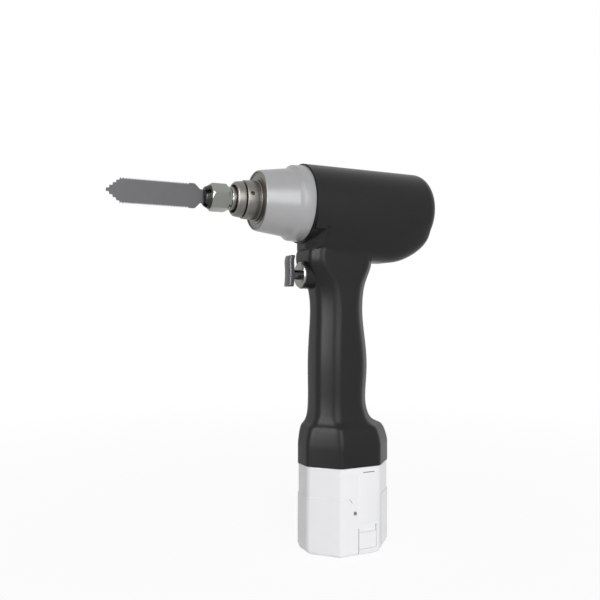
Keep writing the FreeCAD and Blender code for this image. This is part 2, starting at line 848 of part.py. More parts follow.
def make_ram():
    shank_hole = S["collet_shank_radius"] + SEAT
    shank_end = NUT_FRONT + S["collet_shank_length"]
    profile = [
        (RAM_FRONT, shank_hole),
        (RAM_FRONT, S["thread_radius"]),
        (S["ram_ring_front"], S["thread_radius"]),
        (S["ram_ring_front"], S["ram_ring_radius"] - 0.4),
        (S["ram_ring_front"] + 0.4, S["ram_ring_radius"]),
        (RING_REAR, S["ram_ring_radius"]),
        (RING_REAR, S["ram_radius"]),
        (S["crank_place"] - YOKE_HALF, S["ram_radius"]),
        (S["crank_place"] - YOKE_HALF, 0),
        (shank_end + 0.5, 0),
        (shank_end + 0.5, shank_hole),
    ]
    turned("ram", profile, AXIS)
    half_slot = S["roller_radius"] + S["slot_allowance"] + RUN
    half_slot_height = S["crank_throw"] + S["roller_radius"] + 0.5
    half_height = half_slot_height + S["yoke_wall"]
    yoke = new_body("ram_yoke", x=S["crank_place"], z=AXIS)
    corners = [(-YOKE_HALF, -half_height, 2), (YOKE_HALF, -half_height, 2)]
    corners += [(YOKE_HALF, half_height, 2), (-YOKE_HALF, half_height, 2)]
    slab(yoke, outline(yoke, "XZ_Plane", corners), S["yoke_thickness"])
    corners = [(-half_slot, -half_slot_height, 2), (half_slot, -half_slot_height, 2)]
    corners += [(half_slot, half_slot_height, 2), (-half_slot, half_slot_height, 2)]
    pocket(yoke, outline(yoke, "XZ_Plane", corners), S["yoke_thickness"] * 2, SideType="Symmetric")
    keep(yoke, "ram_yoke")


def make_chuck():
    nut = new_body("collet_nut", z=AXIS)
    across = S["nut_across_flats"] / math.sqrt(3)
    corners = []
    for number in range(6):
        angle = math.radians(-10 + 60 * number)
        corners.append((across * math.cos(angle), across * math.sin(angle)))
    pad(nut, outline(nut, "YZ_Plane", corners, NUT_REAR - S["nut_length"]), S["nut_length"])
    doc.recompute()
    hole = round_outline(nut, "YZ_Plane", 0, 0, S["thread_radius"] + RUN, NUT_FRONT)
    pocket(nut, hole, S["nut_length"], Reversed=True)
    flat = S["nut_across_flats"] / 2
    for end, way in ((NUT_FRONT, 1), (NUT_REAR, -1)):
        past = end - way * 0.5
        bevel = [(end, flat), (end + way * 1.2, flat + 2), (past, flat + 2), (past, flat)]
        turn(nut, outline(nut, "XZ_Plane", bevel), kind="Groove")
    keep(nut, "collet_nut")

    body = new_body("chuck_turned", z=AXIS)
    tip = NUT_FRONT - S["collet_length"]
    profile = [
        (tip, 0),
        (tip, S["collet_tip_radius"], 0.8),
        (NUT_FRONT - 0.6, S["collet_radius"]),
        (NUT_FRONT, S["collet_radius"]),
        (NUT_FRONT, S["collet_shank_radius"]),
        (NUT_FRONT + S["collet_shank_length"], S["collet_shank_radius"]),
        (NUT_FRONT + S["collet_shank_length"], 0),
    ]
    turn(body, outline(body, "XZ_Plane", profile))
    slot_length = S["blade_reach"] - S["blade_tang_end"] + 1
    thickness = S["blade_thickness"] + SEAT * 2
    width = S["blade_neck_width"] + SEAT * 2
    slot = block(
        "blade_slot",
        (slot_length, thickness, width),
        (-S["blade_reach"], thickness * -0.5, AXIS - width * 0.5),
    )
    notches = []
    for number in range(4):
        notch = new_body(f"collet_notch_{number}", z=AXIS)
        half = S["notch_width"] / 2
        depth = S["collet_length"] - 1.6
        end, corner = tip + depth, half * 0.9
        corners = [(tip - 1, -half), (end, -half, corner), (end, half, corner), (tip - 1, half)]
        pad(notch, outline(notch, "XY_Plane", corners, S["collet_tip_radius"] - 1.6), 6)
        notch.Placement = FreeCAD.Placement(
            FreeCAD.Vector(0, 0, S["barrel_height"].number),
            FreeCAD.Rotation(FreeCAD.Vector(1, 0, 0), 90 - HOLE_ANGLE + 90 * number),
        )
        notches.append(notch)
    keep(cut("chuck", body, slot, *notches), "collet")


def make_blade():
    body = new_body("saw_blade", z=AXIS)
    half = S["blade_width"] / 2
    neck = S["blade_neck_width"] / 2
    tip = -S["blade_reach"]
    shoulder = -S["blade_shoulder"]
    tip_length = S["blade_tip_length"]
    blunt = S["blade_blunt"]

    def tip_edge(side):
        """The toothed slanted edge from the long edge to the blunt point."""
        points = []
        for number in range(TIP_TEETH):
            share = number / TIP_TEETH
            gullet = (number + 0.5) / TIP_TEETH
            points.append((tip + tip_length * (1 - share), (half - (half - blunt) * share) * side))
            inner = (half - (half - blunt) * gullet - S["tooth_depth"] * 0.7) * side
            points.append((tip + tip_length * (1 - gullet) + S["tooth_depth"] * 0.7, inner))
        points.append((tip, side * blunt))
        return points

    corners = tip_edge(1) + tip_edge(-1)[::-1]
    corners += [(shoulder, half * -1, 1), (shoulder + 3.2, neck * -1, 1), (-S["blade_tang_end"], neck * -1)]
    corners += [(-S["blade_tang_end"], neck), (shoulder + 3.2, neck, 1), (shoulder, half, 1)]
    slab(body, outline(body, "XZ_Plane", corners), S["blade_thickness"])
    doc.recompute()
    run = S["blade_reach"] - S["blade_shoulder"] - tip_length - 2
    for side in (1, -1):
        start = tip + tip_length + S["tooth_pitch"] * 0.5
        gap = S["tooth_pitch"] * 0.5
        top = half * side
        notch = [
            (start - gap, top + side * 0.01),
            (start, top - side * S["tooth_depth"]),
            (start + gap, top + side * 0.01),
            (start + gap, top + side * 0.5),
            (start - gap, top + side * 0.5),
        ]
        sketch = outline(body, "XZ_Plane", notch)
        first = pocket(body, sketch, S["blade_thickness"] * 2, SideType="Symmetric")
        row_of_teeth = body.newObject("PartDesign::LinearPattern", "tooth_row")
        row_of_teeth.Originals = [first]
        row_of_teeth.Direction = (first.Profile[0], ["H_Axis"])
        row_of_teeth.Mode = "Spacing"
        bind(row_of_teeth, "Offset", S["tooth_pitch"])
        row_of_teeth.setExpression("Occurrences", f"floor({(run / S['tooth_pitch']).words})")
        body.Tip = row_of_teeth
        doc.recompute()
    keep(body, "saw_blade")


# The crank drive
CROWN_FACE = S["pitch_radius"] + S["gear_tooth_height"] * 0.5
CROWN_BACK = CROWN_FACE + S["crown_thickness"]


def toothed(body, first, count, axis):
    """Repeats a cut round the body, as many times as the gear has teeth."""
    pattern = body.newObject("PartDesign::PolarPattern", body.Name + "_teeth")
    pattern.Originals = [first]
    pattern.Axis = axis
    pattern.Angle = 360
    pattern.Occurrences = count
    body.Tip = pattern
    doc.recompute()
    return pattern


def make_crank():
    height = S["gear_tooth_height"]
    body = new_body("crown_turned", x=S["crank_place"], z=AXIS)
    outer, inner = S["crown_radius"], S["crown_radius"] - S["crown_tooth_length"]
    shaft_end = CROWN_BACK + S["frame_thickness"] + 2
    profile = [
        (0, CROWN_FACE),
        (inner, CROWN_FACE),
        (inner, CROWN_FACE - height),
        (outer, CROWN_FACE - height),
        (outer, CROWN_BACK),
        (S["crank_shaft_radius"] + 1.5, CROWN_BACK),
        (S["crank_shaft_radius"] + 1.5, CROWN_BACK + 1),
        (S["crank_shaft_radius"], CROWN_BACK + 1),
        (S["crank_shaft_radius"], shaft_end),
        (0, shaft_end),
    ]
    turn(body, outline(body, "XY_Plane", profile), axis="V_Axis")
    doc.recompute()
    step = outer * (2 * math.pi / CROWN_TEETH)
    base, mouth = step * 0.3, step * 0.36
    notch = [
        (-mouth, CROWN_FACE - height - 0.5),
        (mouth, CROWN_FACE - height - 0.5),
        (base, CROWN_FACE),
        (-base, CROWN_FACE),
    ]
    sketch = outline(body, "YZ_Plane", [(up, across) for across, up in notch], inner - 1)
    first = pocket(body, sketch, S["crown_tooth_length"] + 3, Reversed=True)
    toothed(body, first, CROWN_TEETH, (body.Origin.OriginFeatures[1], [""]))
    pin_end = S["roller_radius"] + 0.1
    pin = rod(
        "crank_pin",
        S["crank_pin_radius"],
        CROWN_FACE + pin_end,
        (S["crank_place"], -pin_end, AXIS + S["crank_throw"]),
        "Y",
    )
    keep(joined("crank_gear_solid", body, pin), "crank_gear")

    roller = new_body("crank_roller", x=S["crank_place"], z=AXIS + S["crank_throw"])
    half = S["yoke_thickness"] / 2
    bore = S["crank_pin_radius"] + 0.05
    profile = [(bore, -half), (S["roller_radius"], -half), (S["roller_radius"], half), (bore, half)]
    turn(roller, outline(roller, "XY_Plane", profile), axis="V_Axis")
    keep(roller, "crank_roller")

    start = CROWN_BACK + 1
    bearing = new_body("crank_bearing", x=S["crank_place"], z=AXIS)
    inner, outer = S["crank_shaft_radius"] + 0.05, S["crank_bearing_radius"]
    end = start + S["frame_thickness"] - 0.5
    middle = (inner + outer) * 0.5
    profile = [
        (inner, start),
        (middle - 0.6, start),
        (middle - 0.6, start + 0.7),
        (middle + 0.6, start + 0.7),
        (middle + 0.6, start),
        (outer, start),
        (outer, end),
        (inner, end),
    ]
    turn(bearing, outline(bearing, "XY_Plane", profile), axis="V_Axis")
    keep(bearing, "crank_bearing")

    ring_front = S["motor_front"] - 4
    plate = new_body("gear_frame_plate", z=AXIS)
    left = S["crank_place"] - S["crank_bearing_radius"] - 4
    half_height = S["crank_bearing_radius"] + 4
    corners = [(left, -half_height, 4), (ring_front + 2, -half_height)]
    corners += [(ring_front + 2, half_height), (left, half_height, 4)]
    pad(plate, outline(plate, "XZ_Plane", corners, -start), S["frame_thickness"], Reversed=True)
    disc = new_body("gear_frame_ring", z=AXIS)
    profile = [
        (ring_front, S["motor_bearing_radius"] + 2),
        (ring_front, BARREL_BORE - SEAT),
        (S["motor_front"], BARREL_BORE - SEAT),
        (S["motor_front"], S["motor_bearing_radius"] + 2),
    ]
    turn(disc, outline(disc, "XZ_Plane", profile))
    solid = joined("gear_frame_solid", plate, disc)
    hole = rod(
        "crank_bearing_hole",
        S["crank_bearing_radius"] + 0.05,
        S["frame_thickness"] + 4,
        (S["crank_place"], start - 2, AXIS),
        "Y",
    )
    keep(cut("frame", solid, hole), "gear_frame")


# The motor
def make_motor():
    front, rear = S["motor_front"], S["motor_front"] + S["motor_length"]
    plate = S["plate_of_motor"]
    shaft = S["motor_shaft_radius"]
    bearing = S["motor_bearing_radius"]
    height = S["gear_tooth_height"]
    body = new_body("pinion", z=AXIS)
    tip = S["pitch_radius"] + height * 0.5 - S["tip_clearance"]
    root = S["pitch_radius"] - height * 0.5 - S["tip_clearance"]
    gear_front = S["crank_place"] + S["crown_radius"] - S["crown_tooth_length"]
    gear_rear = S["crank_place"] + S["crown_radius"]
    profile = [(gear_front, shaft + 0.02), (gear_rear, shaft + 0.02), (gear_rear, tip), (gear_front, tip)]
    turn(body, outline(body, "XZ_Plane", profile))
    doc.recompute()
    step = tip * (2 * math.pi / PINION_TEETH)
    notch = [(-step * 0.36, tip + 0.3), (step * 0.36, tip + 0.3), (step * 0.2, root), (-step * 0.2, root)]
    sketch = outline(body, "YZ_Plane", notch, gear_front - 1)
    first = pocket(body, sketch, S["crown_tooth_length"] + 2, Reversed=True)
    toothed(body, first, PINION_TEETH, (body.Origin.OriginFeatures[0], [""]))
    keep(body, "pinion")

    profile = [
        (gear_front, 0),
        (gear_front, shaft),
        (rear + 1, shaft),
        (rear + 1, 0),
    ]
    turned("motor_shaft", profile, AXIS)
    gap = S["rotor_end_gap"]
    ring("rotor", front + gap, rear - gap, shaft + 0.02, S["rotor_radius"], AXIS)
    inside = MOTOR_RADIUS - S["can_wall"]
    stator = new_body("stator", z=AXIS)
    gap = S["stator_end_gap"]
    profile = [
        (front + gap, S["rotor_radius"] + 0.6),
        (rear - gap, S["rotor_radius"] + 0.6),
        (rear - gap, inside - SEAT),
        (front + gap, inside - SEAT),
    ]
    turn(stator, outline(stator, "XZ_Plane", profile))
    doc.recompute()
    slot = [(-1, S["rotor_radius"]), (1, S["rotor_radius"]), (3, inside - 2), (-3, inside - 2)]
    first = pocket(stator, outline(stator, "YZ_Plane", slot, front), S["motor_length"], Reversed=True)
    toothed(stator, first, 6, (stator.Origin.OriginFeatures[0], [""]))
    keep(stator, "stator")
    ring("motor_can", front + plate, rear - plate, inside, MOTOR_RADIUS, AXIS)
    for label, start in (("motor_front_plate", front), ("motor_rear_plate", rear - plate)):
        ring(label, start, start + plate, bearing + 0.05, MOTOR_RADIUS, AXIS)
    bearings = []
    width = S["motor_bearing_width"]
    for name, start in (("front_bearing", front), ("rear_bearing", rear - width)):
        item = new_body(name, z=AXIS)
        end = start + width
        profile = [(start, shaft + 0.05), (end, shaft + 0.05), (end, bearing), (start, bearing)]
        turn(item, outline(item, "XZ_Plane", profile))
        bearings.append(item)
    group("motor_bearings", bearings)
    start = S["motor_bore_start"] - S["motor_ring_place"]
    end = start + S["motor_ring_length"]
    ring("motor_ring", start, end, MOTOR_RADIUS + 0.05, BARREL_BORE - SEAT, AXIS)


# The trigger
def make_trigger():
    height = TRIGGER_HEIGHT
    front, rear = S["trigger_front"], S["trigger_front"] + S["trigger_depth"]
    body = new_body("trigger_pad")
    bottom, top = height - S["trigger_fall"], height + S["trigger_rise"]
    corners = [
        (rear, bottom, 1),
        (rear, top, 1.5),
        (front + 1.2, top, 2.5),
        (front + 1.6, top - 8, 14),
        (front, bottom + 2, 1.5),
        (front + 1.5, bottom, 1),
    ]
    slab(body, outline(body, "XZ_Plane", corners), S["trigger_width"])
    half = S["trigger_width"].number / 2
    round_edges(body, lambda box: box.YLength < 1e-6 and abs(abs(box.YMin) - half) < 1e-6, 0.8)
    keep(body, "trigger_pad")

    bush_front = S["trigger_bush_front"]
    flange_front = bush_front - S["trigger_flange"]
    stem_end = bush_front + S["trigger_stem_reach"]
    bush_end = bush_front + S["trigger_bush_length"]
    collar_end = bush_end + S["stem_collar_length"]
    collar = S["trigger_bush_body"] - 0.7
    profile = [
        (rear, 0),
        (rear, S["stem_radius"]),
        (bush_end, S["stem_radius"]),
        (bush_end, collar),
        (collar_end, collar),
        (collar_end, S["stem_radius"]),
        (stem_end, S["stem_radius"]),
        (stem_end, 0),
    ]
    turned("trigger_stem", profile, height)
    hole = S["stem_radius"] + RUN
    profile = [
        (flange_front, hole),
        (flange_front, S["trigger_bush_radius"] - 0.6),
        (flange_front + 0.6, S["trigger_bush_radius"]),
        (bush_front, S["trigger_bush_radius"]),
        (bush_front, S["trigger_bush_body"]),
        (bush_end, S["trigger_bush_body"]),
        (bush_end, hole),
    ]
    turned("trigger_bush", profile, height)
    magnet_end = stem_end + S["magnet_length"]
    ring("trigger_magnet", stem_end, magnet_end, 0, S["stem_radius"], height)
    sensor = magnet_end + S["trigger_travel"] + 0.6
    side, thick = S["sensor_side"], S["sensor_thickness"]
    corner = (sensor, side * -0.5, height - side * 0.5)
    keep(block("hall_sensor", (thick, side, side), corner), "hall_sensor")
    bottom = HOLLOW_TOP - 1.5
    board_front = sensor + thick
    lengths = (S["board_thickness"], S["board_width"], height + S["board_over_trigger"] - bottom)
    corner = (board_front, S["board_width"] * -0.5, bottom)
    keep(block("controller_board", lengths, corner), "controller_board")
    spring = S["stem_radius"] + 0.6
    ring("trigger_spring", collar_end, board_front, spring, spring + S["spring_wire"], height)


# What the foot and the grip hold
def make_electronics():
    plate_bottom = HOLLOW_TOP - 4
    plate = new_body("foot_plate")
    inside = inset(BATTERY, S["grip_wall"] + SEAT)
    pad(plate, outline(plate, "XY_Plane", octagon(*inside), plate_bottom), 2.5)
    keep(plate, "foot_plate")
    height = S["contact_block_height"]
    length, width = S["contact_spacing"] + S["contact_block_margin"], S["contact_block_margin"]
    corner = (length * -0.5, width * -0.5, plate_bottom - height)
    base = block("contact_block_base", (length, width, height), corner)
    slots = []
    for number, side in enumerate((-0.5, 0.5)):
        thick = S["contact_thickness"] + 0.8
        wide = S["contact_width"] + 0.8
        corner = (S["contact_spacing"] * side - thick * 0.5, wide * -0.5, FOOT_BOTTOM)
        slots.append(block(f"contact_slot_{number}", (thick, wide, S["contact_reach"] + 0.6), corner))
    keep(cut("socket", base, *slots), "contact_block")


# The battery
def make_battery():
    height = S["battery_height"]
    body = new_body("battery_shell")
    pad(body, outline(body, "XY_Plane", octagon(*CASE)), height)
    round_edges(body, lambda box: box.ZMax < 1e-6, S["battery_edge"])
    cavity = outline(body, "XY_Plane", octagon(*inset(CASE, S["battery_wall"])), S["battery_floor"])
    pocket(body, cavity, height, Reversed=True)
    holes = []
    outer = CASE[2]
    left, length = S["button_left"], S["button_length"]
    bottom, tall = S["button_bottom"], S["button_height"]
    for number, side in enumerate((-1, 1)):
        gap = S["button_thickness"]
        start = outer * side - gap * 0.5 - (gap * 0.5) * side
        corner = (left - SEAT * 2, start, bottom - SEAT * 2)
        holes.append(block(f"button_hole_{number}", (length + SEAT * 4, gap, tall + SEAT * 4), corner))
        pin_axis = "-Y" if side < 0 else "Y"
        start = (outer - 3) * side
        spot = (S["front_cover_edge"] + 1.2, start, S["cover_pin_height"])
        holes.append(rod(f"pin_hole_{number}", S["cover_pin_radius"] + 0.05, 5, spot, pin_axis))
    keep(cut("case", body, *holes), "battery_case")

    pins = []
    for number, side in enumerate((-1, 1)):
        spot = (S["front_cover_edge"] + 1.2, (outer - S["battery_wall"]) * side, S["cover_pin_height"])
        length_of_pin = S["battery_wall"] + S["cover_thickness"] + 0.1
        pin_axis = "-Y" if side < 0 else "Y"
        pins.append(rod(f"cover_pin_{number}", S["cover_pin_radius"], length_of_pin, spot, pin_axis))
    group("cover_pins", pins)

    make_cover("front_cover", -1, S["front_cover_edge"])
    make_cover("rear_cover", 1, S["rear_cover_edge"])
    for where, side in (("near", -1), ("far", 1)):
        label, spring_label = "release_button_" + where, "button_spring_" + where
        button = new_body(label)
        thick = S["button_thickness"] - S["button_travel"] - 0.3
        top = bottom + tall
        recess = S["button_recess"]
        face = outer * side
        inner = face - side * thick
        profile = [
            (face, bottom),
            (face, top - recess),
            (face - side * 1.2, top - recess + 0.8),
            (face - side * 1.2, top),
            (inner, top),
            (inner, bottom),
        ]
        sketch = outline(button, "YZ_Plane", profile, left)
        pad(button, sketch, length)
        keep(button, label)
        cell_side = S["cell_spacing"] + S["cell_radius"]
        spot = (S["cell_spacing"], cell_side * side, bottom + tall * 0.4)
        spring_length = outer - thick - cell_side
        spring_axis = "-Y" if side < 0 else "Y"
        spring = rod(spring_label, S["button_spring_radius"], spring_length, spot, spring_axis)
        keep(spring, spring_label)

    lid = new_body("battery_lid")
    inside = inset(CASE, S["battery_wall"] + SEAT)
    under = height - S["lid_thickness"] - 0.2
    pad(lid, outline(lid, "XY_Plane", octagon(*inside), under), S["lid_thickness"])
    keep(lid, "battery_lid")
    cells, links = [], []
    top = S["battery_floor"] + CELL_LENGTH
    for number in range(4):
        across = S["cell_spacing"] * (1 if number % 2 else -1)
        along = S["cell_spacing"] * (1 if number // 2 else -1)
        spot = (across, along, S["battery_floor"])
        cells.append(rod(f"cell_{number}", S["cell_radius"], CELL_LENGTH, spot))
    for number, side in enumerate((-1, 1)):
        wide = S["cell_spacing"] * 2 + 6
        spot = (S["cell_spacing"] * side - 3, wide * -0.5, top)
        links.append(block(f"link_{number}", (6, wide, 0.4), spot))
    group("battery_cells", cells)
    group("cell_links", links)
    contacts = []
    for number, side in enumerate((-0.5, 0.5)):
        corner = (
            S["contact_spacing"] * side - S["contact_thickness"] * 0.5,
            S["contact_width"] * -0.5,
            height - 0.2,
        )
        lengths = (S["contact_thickness"], S["contact_width"], S["contact_reach"] + 0.2)
        contacts.append(block(f"contact_{number}", lengths, corner))
    group("battery_contacts", contacts)


def half_loop(section, way, edge):
    """Half of the octagon's outline, from an edge on one side round the end to the other side."""
    front, rear, half_width, chamfer, rounding = section
    end = front if way < 0 else rear
    corner = end - way * chamfer
    points = [(end, chamfer - half_width, rounding), (end, half_width - chamfer, rounding)]
    if way < 0:
        points = [(corner, -half_width, rounding)] + points + [(corner, half_width, rounding)]
        return [(edge, -half_width)] + points + [(edge, half_width)]
    rise = edge - corner
    return [(edge, rise - half_width)] + points + [(edge, half_width - rise)]


def make_cover(label, way, edge):
    """A thin piece wrapped round one end of the battery case, from side to side."""
    body = new_body(label)
    corners = half_loop(BATTERY, way, edge) + half_loop(CASE, way, edge)[::-1]
    pad(body, outline(body, "XY_Plane", corners, S["cover_bottom"]), S["cover_top"] - S["cover_bottom"])
    if way < 0:
        top, end = S["cover_top"].number, edge.number
        round_edges(
            body,
            lambda box: abs(box.ZMin - top) < 1e-6 and abs(box.XMin - end) < 1e-6 and box.XLength < 1e-6,
            S["cover_rounding"],
        )
    keep(body, label)


make_housing()
make_rear_cap()
make_nose()
make_collars()
make_ram()
make_chuck()
make_blade()
make_crank()
make_motor()
make_trigger()
make_electronics()
make_battery()
doc.recompute()

for item in doc.Objects:
    if {"Invalid", "Error"} & set(item.State):
        raise ValueError(f"{item.Label} failed: {item.State}")
for item in pieces:
    if item.Shape.isNull() or not item.Shape.isValid():
        raise ValueError(f"{item.Label} has no valid shape")

os.makedirs("parts", exist_ok=True)
for item in pieces:
    item.Shape.exportStep(os.path.join("parts", item.Label + ".step"))
    print(item.Label, len(item.Shape.Solids), round(item.Shape.Volume, 1))
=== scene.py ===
# %% [markdown]
# # A cordless bone saw, dressed for its picture
# The solids of the saw are finished already: they come in as a fixed frame, in metres, each with its
# place in its mesh. This lesson gives them a camera, a small studio, real finishes and the fine details
# that a plain solid doesn't have.

import json
import math

import bpy
from mathutils import Matrix, Vector


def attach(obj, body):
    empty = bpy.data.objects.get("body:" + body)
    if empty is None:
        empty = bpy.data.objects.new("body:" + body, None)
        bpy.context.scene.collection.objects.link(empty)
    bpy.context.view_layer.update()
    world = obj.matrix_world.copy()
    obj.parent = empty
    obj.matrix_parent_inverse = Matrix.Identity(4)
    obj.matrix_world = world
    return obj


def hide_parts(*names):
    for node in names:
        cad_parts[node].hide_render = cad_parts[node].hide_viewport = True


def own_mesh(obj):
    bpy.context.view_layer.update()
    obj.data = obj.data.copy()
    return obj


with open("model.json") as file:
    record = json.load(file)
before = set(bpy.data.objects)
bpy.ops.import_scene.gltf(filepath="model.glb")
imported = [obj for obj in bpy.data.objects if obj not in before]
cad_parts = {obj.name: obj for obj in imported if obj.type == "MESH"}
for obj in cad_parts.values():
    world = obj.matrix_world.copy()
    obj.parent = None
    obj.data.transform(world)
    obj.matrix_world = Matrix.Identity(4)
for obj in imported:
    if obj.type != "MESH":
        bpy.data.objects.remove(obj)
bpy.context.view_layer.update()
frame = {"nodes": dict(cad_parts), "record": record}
MM = 0.001
AXIS_HEIGHT = 215 * MM
print("pieces in the frame:", len(frame["nodes"]))

# %% [markdown]
# ## Camera
# The photograph was taken from the left front, level with the middle of the grip. A long lens keeps the
# upright grip straight, and the barrel still narrows a little towards its rear. The camera leans by less
# than a degree, so we build its matrix from three directions instead of turning it by hand.

# %% Camera
YAW = math.radians(25.83)
PITCH = math.radians(-0.77)
LEAN = math.radians(-0.17)
DISTANCE = 442.9 * MM
AIM_SIDEWAYS = -27.67 * MM
AIM_HEIGHT = 155.69 * MM
SENSOR_WIDTH = 36
LENS = 41.7

back = Vector((-math.sin(YAW) * math.cos(PITCH), -math.cos(YAW) * math.cos(PITCH), math.sin(PITCH)))
level = Vector((math.cos(YAW), -math.sin(YAW), 0))
upright = back.cross(level)
aim = Vector((0, 0, AIM_HEIGHT)) + level * AIM_SIDEWAYS
right = level * math.cos(LEAN) - upright * math.sin(LEAN)
above = level * math.sin(LEAN) + upright * math.cos(LEAN)

bpy.ops.object.select_all(action="DESELECT")
bpy.ops.object.camera_add()
camera = bpy.context.object
camera.name = "photo_camera"
camera.data.sensor_width = SENSOR_WIDTH
camera.data.lens = LENS
turned = Matrix((right, above, back)).transposed().to_4x4()
turned.translation = aim + back * DISTANCE
camera.matrix_world = turned
bpy.context.scene.camera = camera
print("camera at", [round(v, 3) for v in turned.translation])

# %% [markdown]
# ## Writing shader sums
# A material in Blender is a graph of nodes, and sums drawn node by node are hard to read. The small class
# below lets us write them as ordinary sums: each sign adds one Math node. A second class adds any other
# node to a graph, with its settings first and its sockets after them. A third class holds one finish.


# %% Helpers for materials
# The Mix node's colour sockets have the names of its number sockets, so they go by their order.
MIX_FIRST, MIX_SECOND, MIX_COLOUR = 6, 7, 2


class Amount:
    """A number that changes over a surface."""

    def __init__(self, graph, socket):
        self.graph = graph
        self.socket = socket

    def sum_node(self, operation, first, second):
        return self.graph.node("ShaderNodeMath", {"operation": operation}, {0: first, 1: second})

    def __add__(self, other):
        return self.sum_node("ADD", self, other)

    def __sub__(self, other):
        return self.sum_node("SUBTRACT", self, other)

    def __rsub__(self, other):
        return self.sum_node("SUBTRACT", other, self)

    def __mul__(self, other):
        return self.sum_node("MULTIPLY", self, other)

    def __pow__(self, other):
        return self.sum_node("POWER", self, other)

    __radd__ = __add__
    __rmul__ = __mul__


class Graph:
    """A tree of nodes, to which one method adds every node."""

    def __init__(self, tree):
        self.tree = tree

    def connect(self, target, value):
        if isinstance(value, Amount):
            self.tree.links.new(value.socket, target)
        elif isinstance(value, bpy.types.NodeSocket):
            self.tree.links.new(value, target)
        else:
            target.default_value = value

    def node(self, kind, settings=None, inputs=None, output=0):
        node = self.tree.nodes.new(kind)
        for name, value in (settings or {}).items():
            setattr(node, name, value)
        for name, value in (inputs or {}).items():
            self.connect(node.inputs[name], value)
        return Amount(self, node.outputs[output])


class Finish(Graph):
    """One material, with the patterns that its surface uses."""

    def __init__(self, name, **constants):
        self.material = bpy.data.materials.new(name)
        self.material.use_nodes = True
        super().__init__(self.material.node_tree)
        self.shader = self.tree.nodes["Principled BSDF"]
        for socket, value in constants.items():
            self.shader.inputs[socket.replace("_", " ")].default_value = value

    def set(self, socket, value):
        self.connect(self.shader.inputs[socket], value)

    def place(self):
        """The point of the surface in the object's own coordinates, in metres."""
        return self.node("ShaderNodeTexCoord", output="Object")

    def parts(self, vector):
        """The three numbers of a vector."""
        first = self.node("ShaderNodeSeparateXYZ", None, {0: vector})
        return [Amount(self, output) for output in first.socket.node.outputs]

    def vector(self, x, y, z):
        return self.node("ShaderNodeCombineXYZ", None, {0: x, 1: y, 2: z})

    def noise(self, vector, scale, detail=3.0):
        return self.node("ShaderNodeTexNoise", None, {"Vector": vector, "Scale": scale, "Detail": detail})

    def blend(self, share, first, second):
        """A colour between two colours."""
        inputs = {"Factor": share, MIX_FIRST: first, MIX_SECOND: second}
        return self.node("ShaderNodeMix", {"data_type": "RGBA"}, inputs, MIX_COLOUR)

    def bump(self, height, strength, distance):
        """Fine relief."""
        inputs = {"Height": height, "Strength": strength, "Distance": distance}
        self.set("Normal", self.node("ShaderNodeBump", None, inputs))


def rgb(red, green, blue):
    return (red, green, blue, 1.0)


def radius_from_barrel_axis(finish):
    """How far a point is from the barrel's axis, and how far along the barrel it lies."""
    along, across, up = finish.parts(finish.place())
    height = up - AXIS_HEIGHT
    return along, (across * across + height * height) ** 0.5


print("helpers ready")

# %% [markdown]
# ## Studio
# The photograph shows the saw on plain white with no hard shadows: soft light from the left gives the
# long upright highlight on the front corner of the grip, and a white floor lightens it from below.
# Three soft lamps do that. The left one is a narrow strip that only shows in glossy surfaces, as a
# bright card beside the object would. The floor and the world are white for the camera and reflections,
# and the floor is a little greyer under the saw, where the fade starts.

# %% Studio
FLOOR_SIZE = 12
FLOOR_DROP = 0.2 * MM
FADE_START, FADE_END = 0.08, 0.8
NEAR_WHITE, FAR_WHITE = 0.93, 1.0
ROOM_LIGHT, ROOM_SEEN = 0.31, 1.0
WHITE = rgb(1, 1, 1)
LAMPS = {
    # name: (place, size across and up, power in watts, colour)
    "lamp_left": ((-1.035, -0.42, 0.45), (0.12, 0.9), 11.0, (1.0, 0.98, 0.97)),
    "lamp_front": ((-0.25, -1.22, 0.42), (1.0, 1.0), 13.2, (0.975, 0.985, 1.0)),
    "lamp_top": ((-0.1, 0.15, 1.25), (1.2, 0.9), 0.5, (1.0, 1.0, 1.0)),
}
GLOSS_ONLY = "lamp_left"
MIDDLE = Vector((-0.02, 0, 0.15))

bpy.ops.object.select_all(action="DESELECT")
for name, (spot, size, power, colour) in LAMPS.items():
    bpy.ops.object.light_add(type="AREA", location=spot)
    lamp = bpy.context.object
    lamp.name = name
    lamp.data.shape = "RECTANGLE"
    lamp.data.size, lamp.data.size_y = size
    lamp.data.energy = power
    lamp.data.color = colour
    lamp.rotation_euler = (MIDDLE - Vector(spot)).to_track_quat("-Z", "Y").to_euler()
    lamp.visible_diffuse = name != GLOSS_ONLY

bpy.ops.mesh.primitive_plane_add(size=FLOOR_SIZE, location=(0, 0, -FLOOR_DROP))
floor = bpy.context.object
floor.name = "floor"

white_floor = Finish("white_floor", Base_Color=rgb(0.94, 0.94, 0.94), Roughness=0.9, Specular_IOR_Level=0.1)
along, across, up = white_floor.parts(white_floor.place())
far = (along * along + across * across) ** 0.5
seen = white_floor.node("ShaderNodeLightPath", output="Is Camera Ray")
mirrored = white_floor.node("ShaderNodeLightPath", output="Is Glossy Ray")
fade = white_floor.node(
    "ShaderNodeMapRange",
    {"interpolation_type": "SMOOTHSTEP"},
    {"Value": far, "From Min": FADE_START, "From Max": FADE_END, "To Min": NEAR_WHITE, "To Max": FAR_WHITE},
)
glow = white_floor.node("ShaderNodeEmission", None, {"Color": WHITE})
halves = {0: (seen + mirrored) * fade, 1: white_floor.shader.outputs[0], 2: glow}
mixed = white_floor.node("ShaderNodeMixShader", None, halves)
white_floor.connect(white_floor.tree.nodes["Material Output"].inputs[0], mixed)
floor.data.materials.append(white_floor.material)

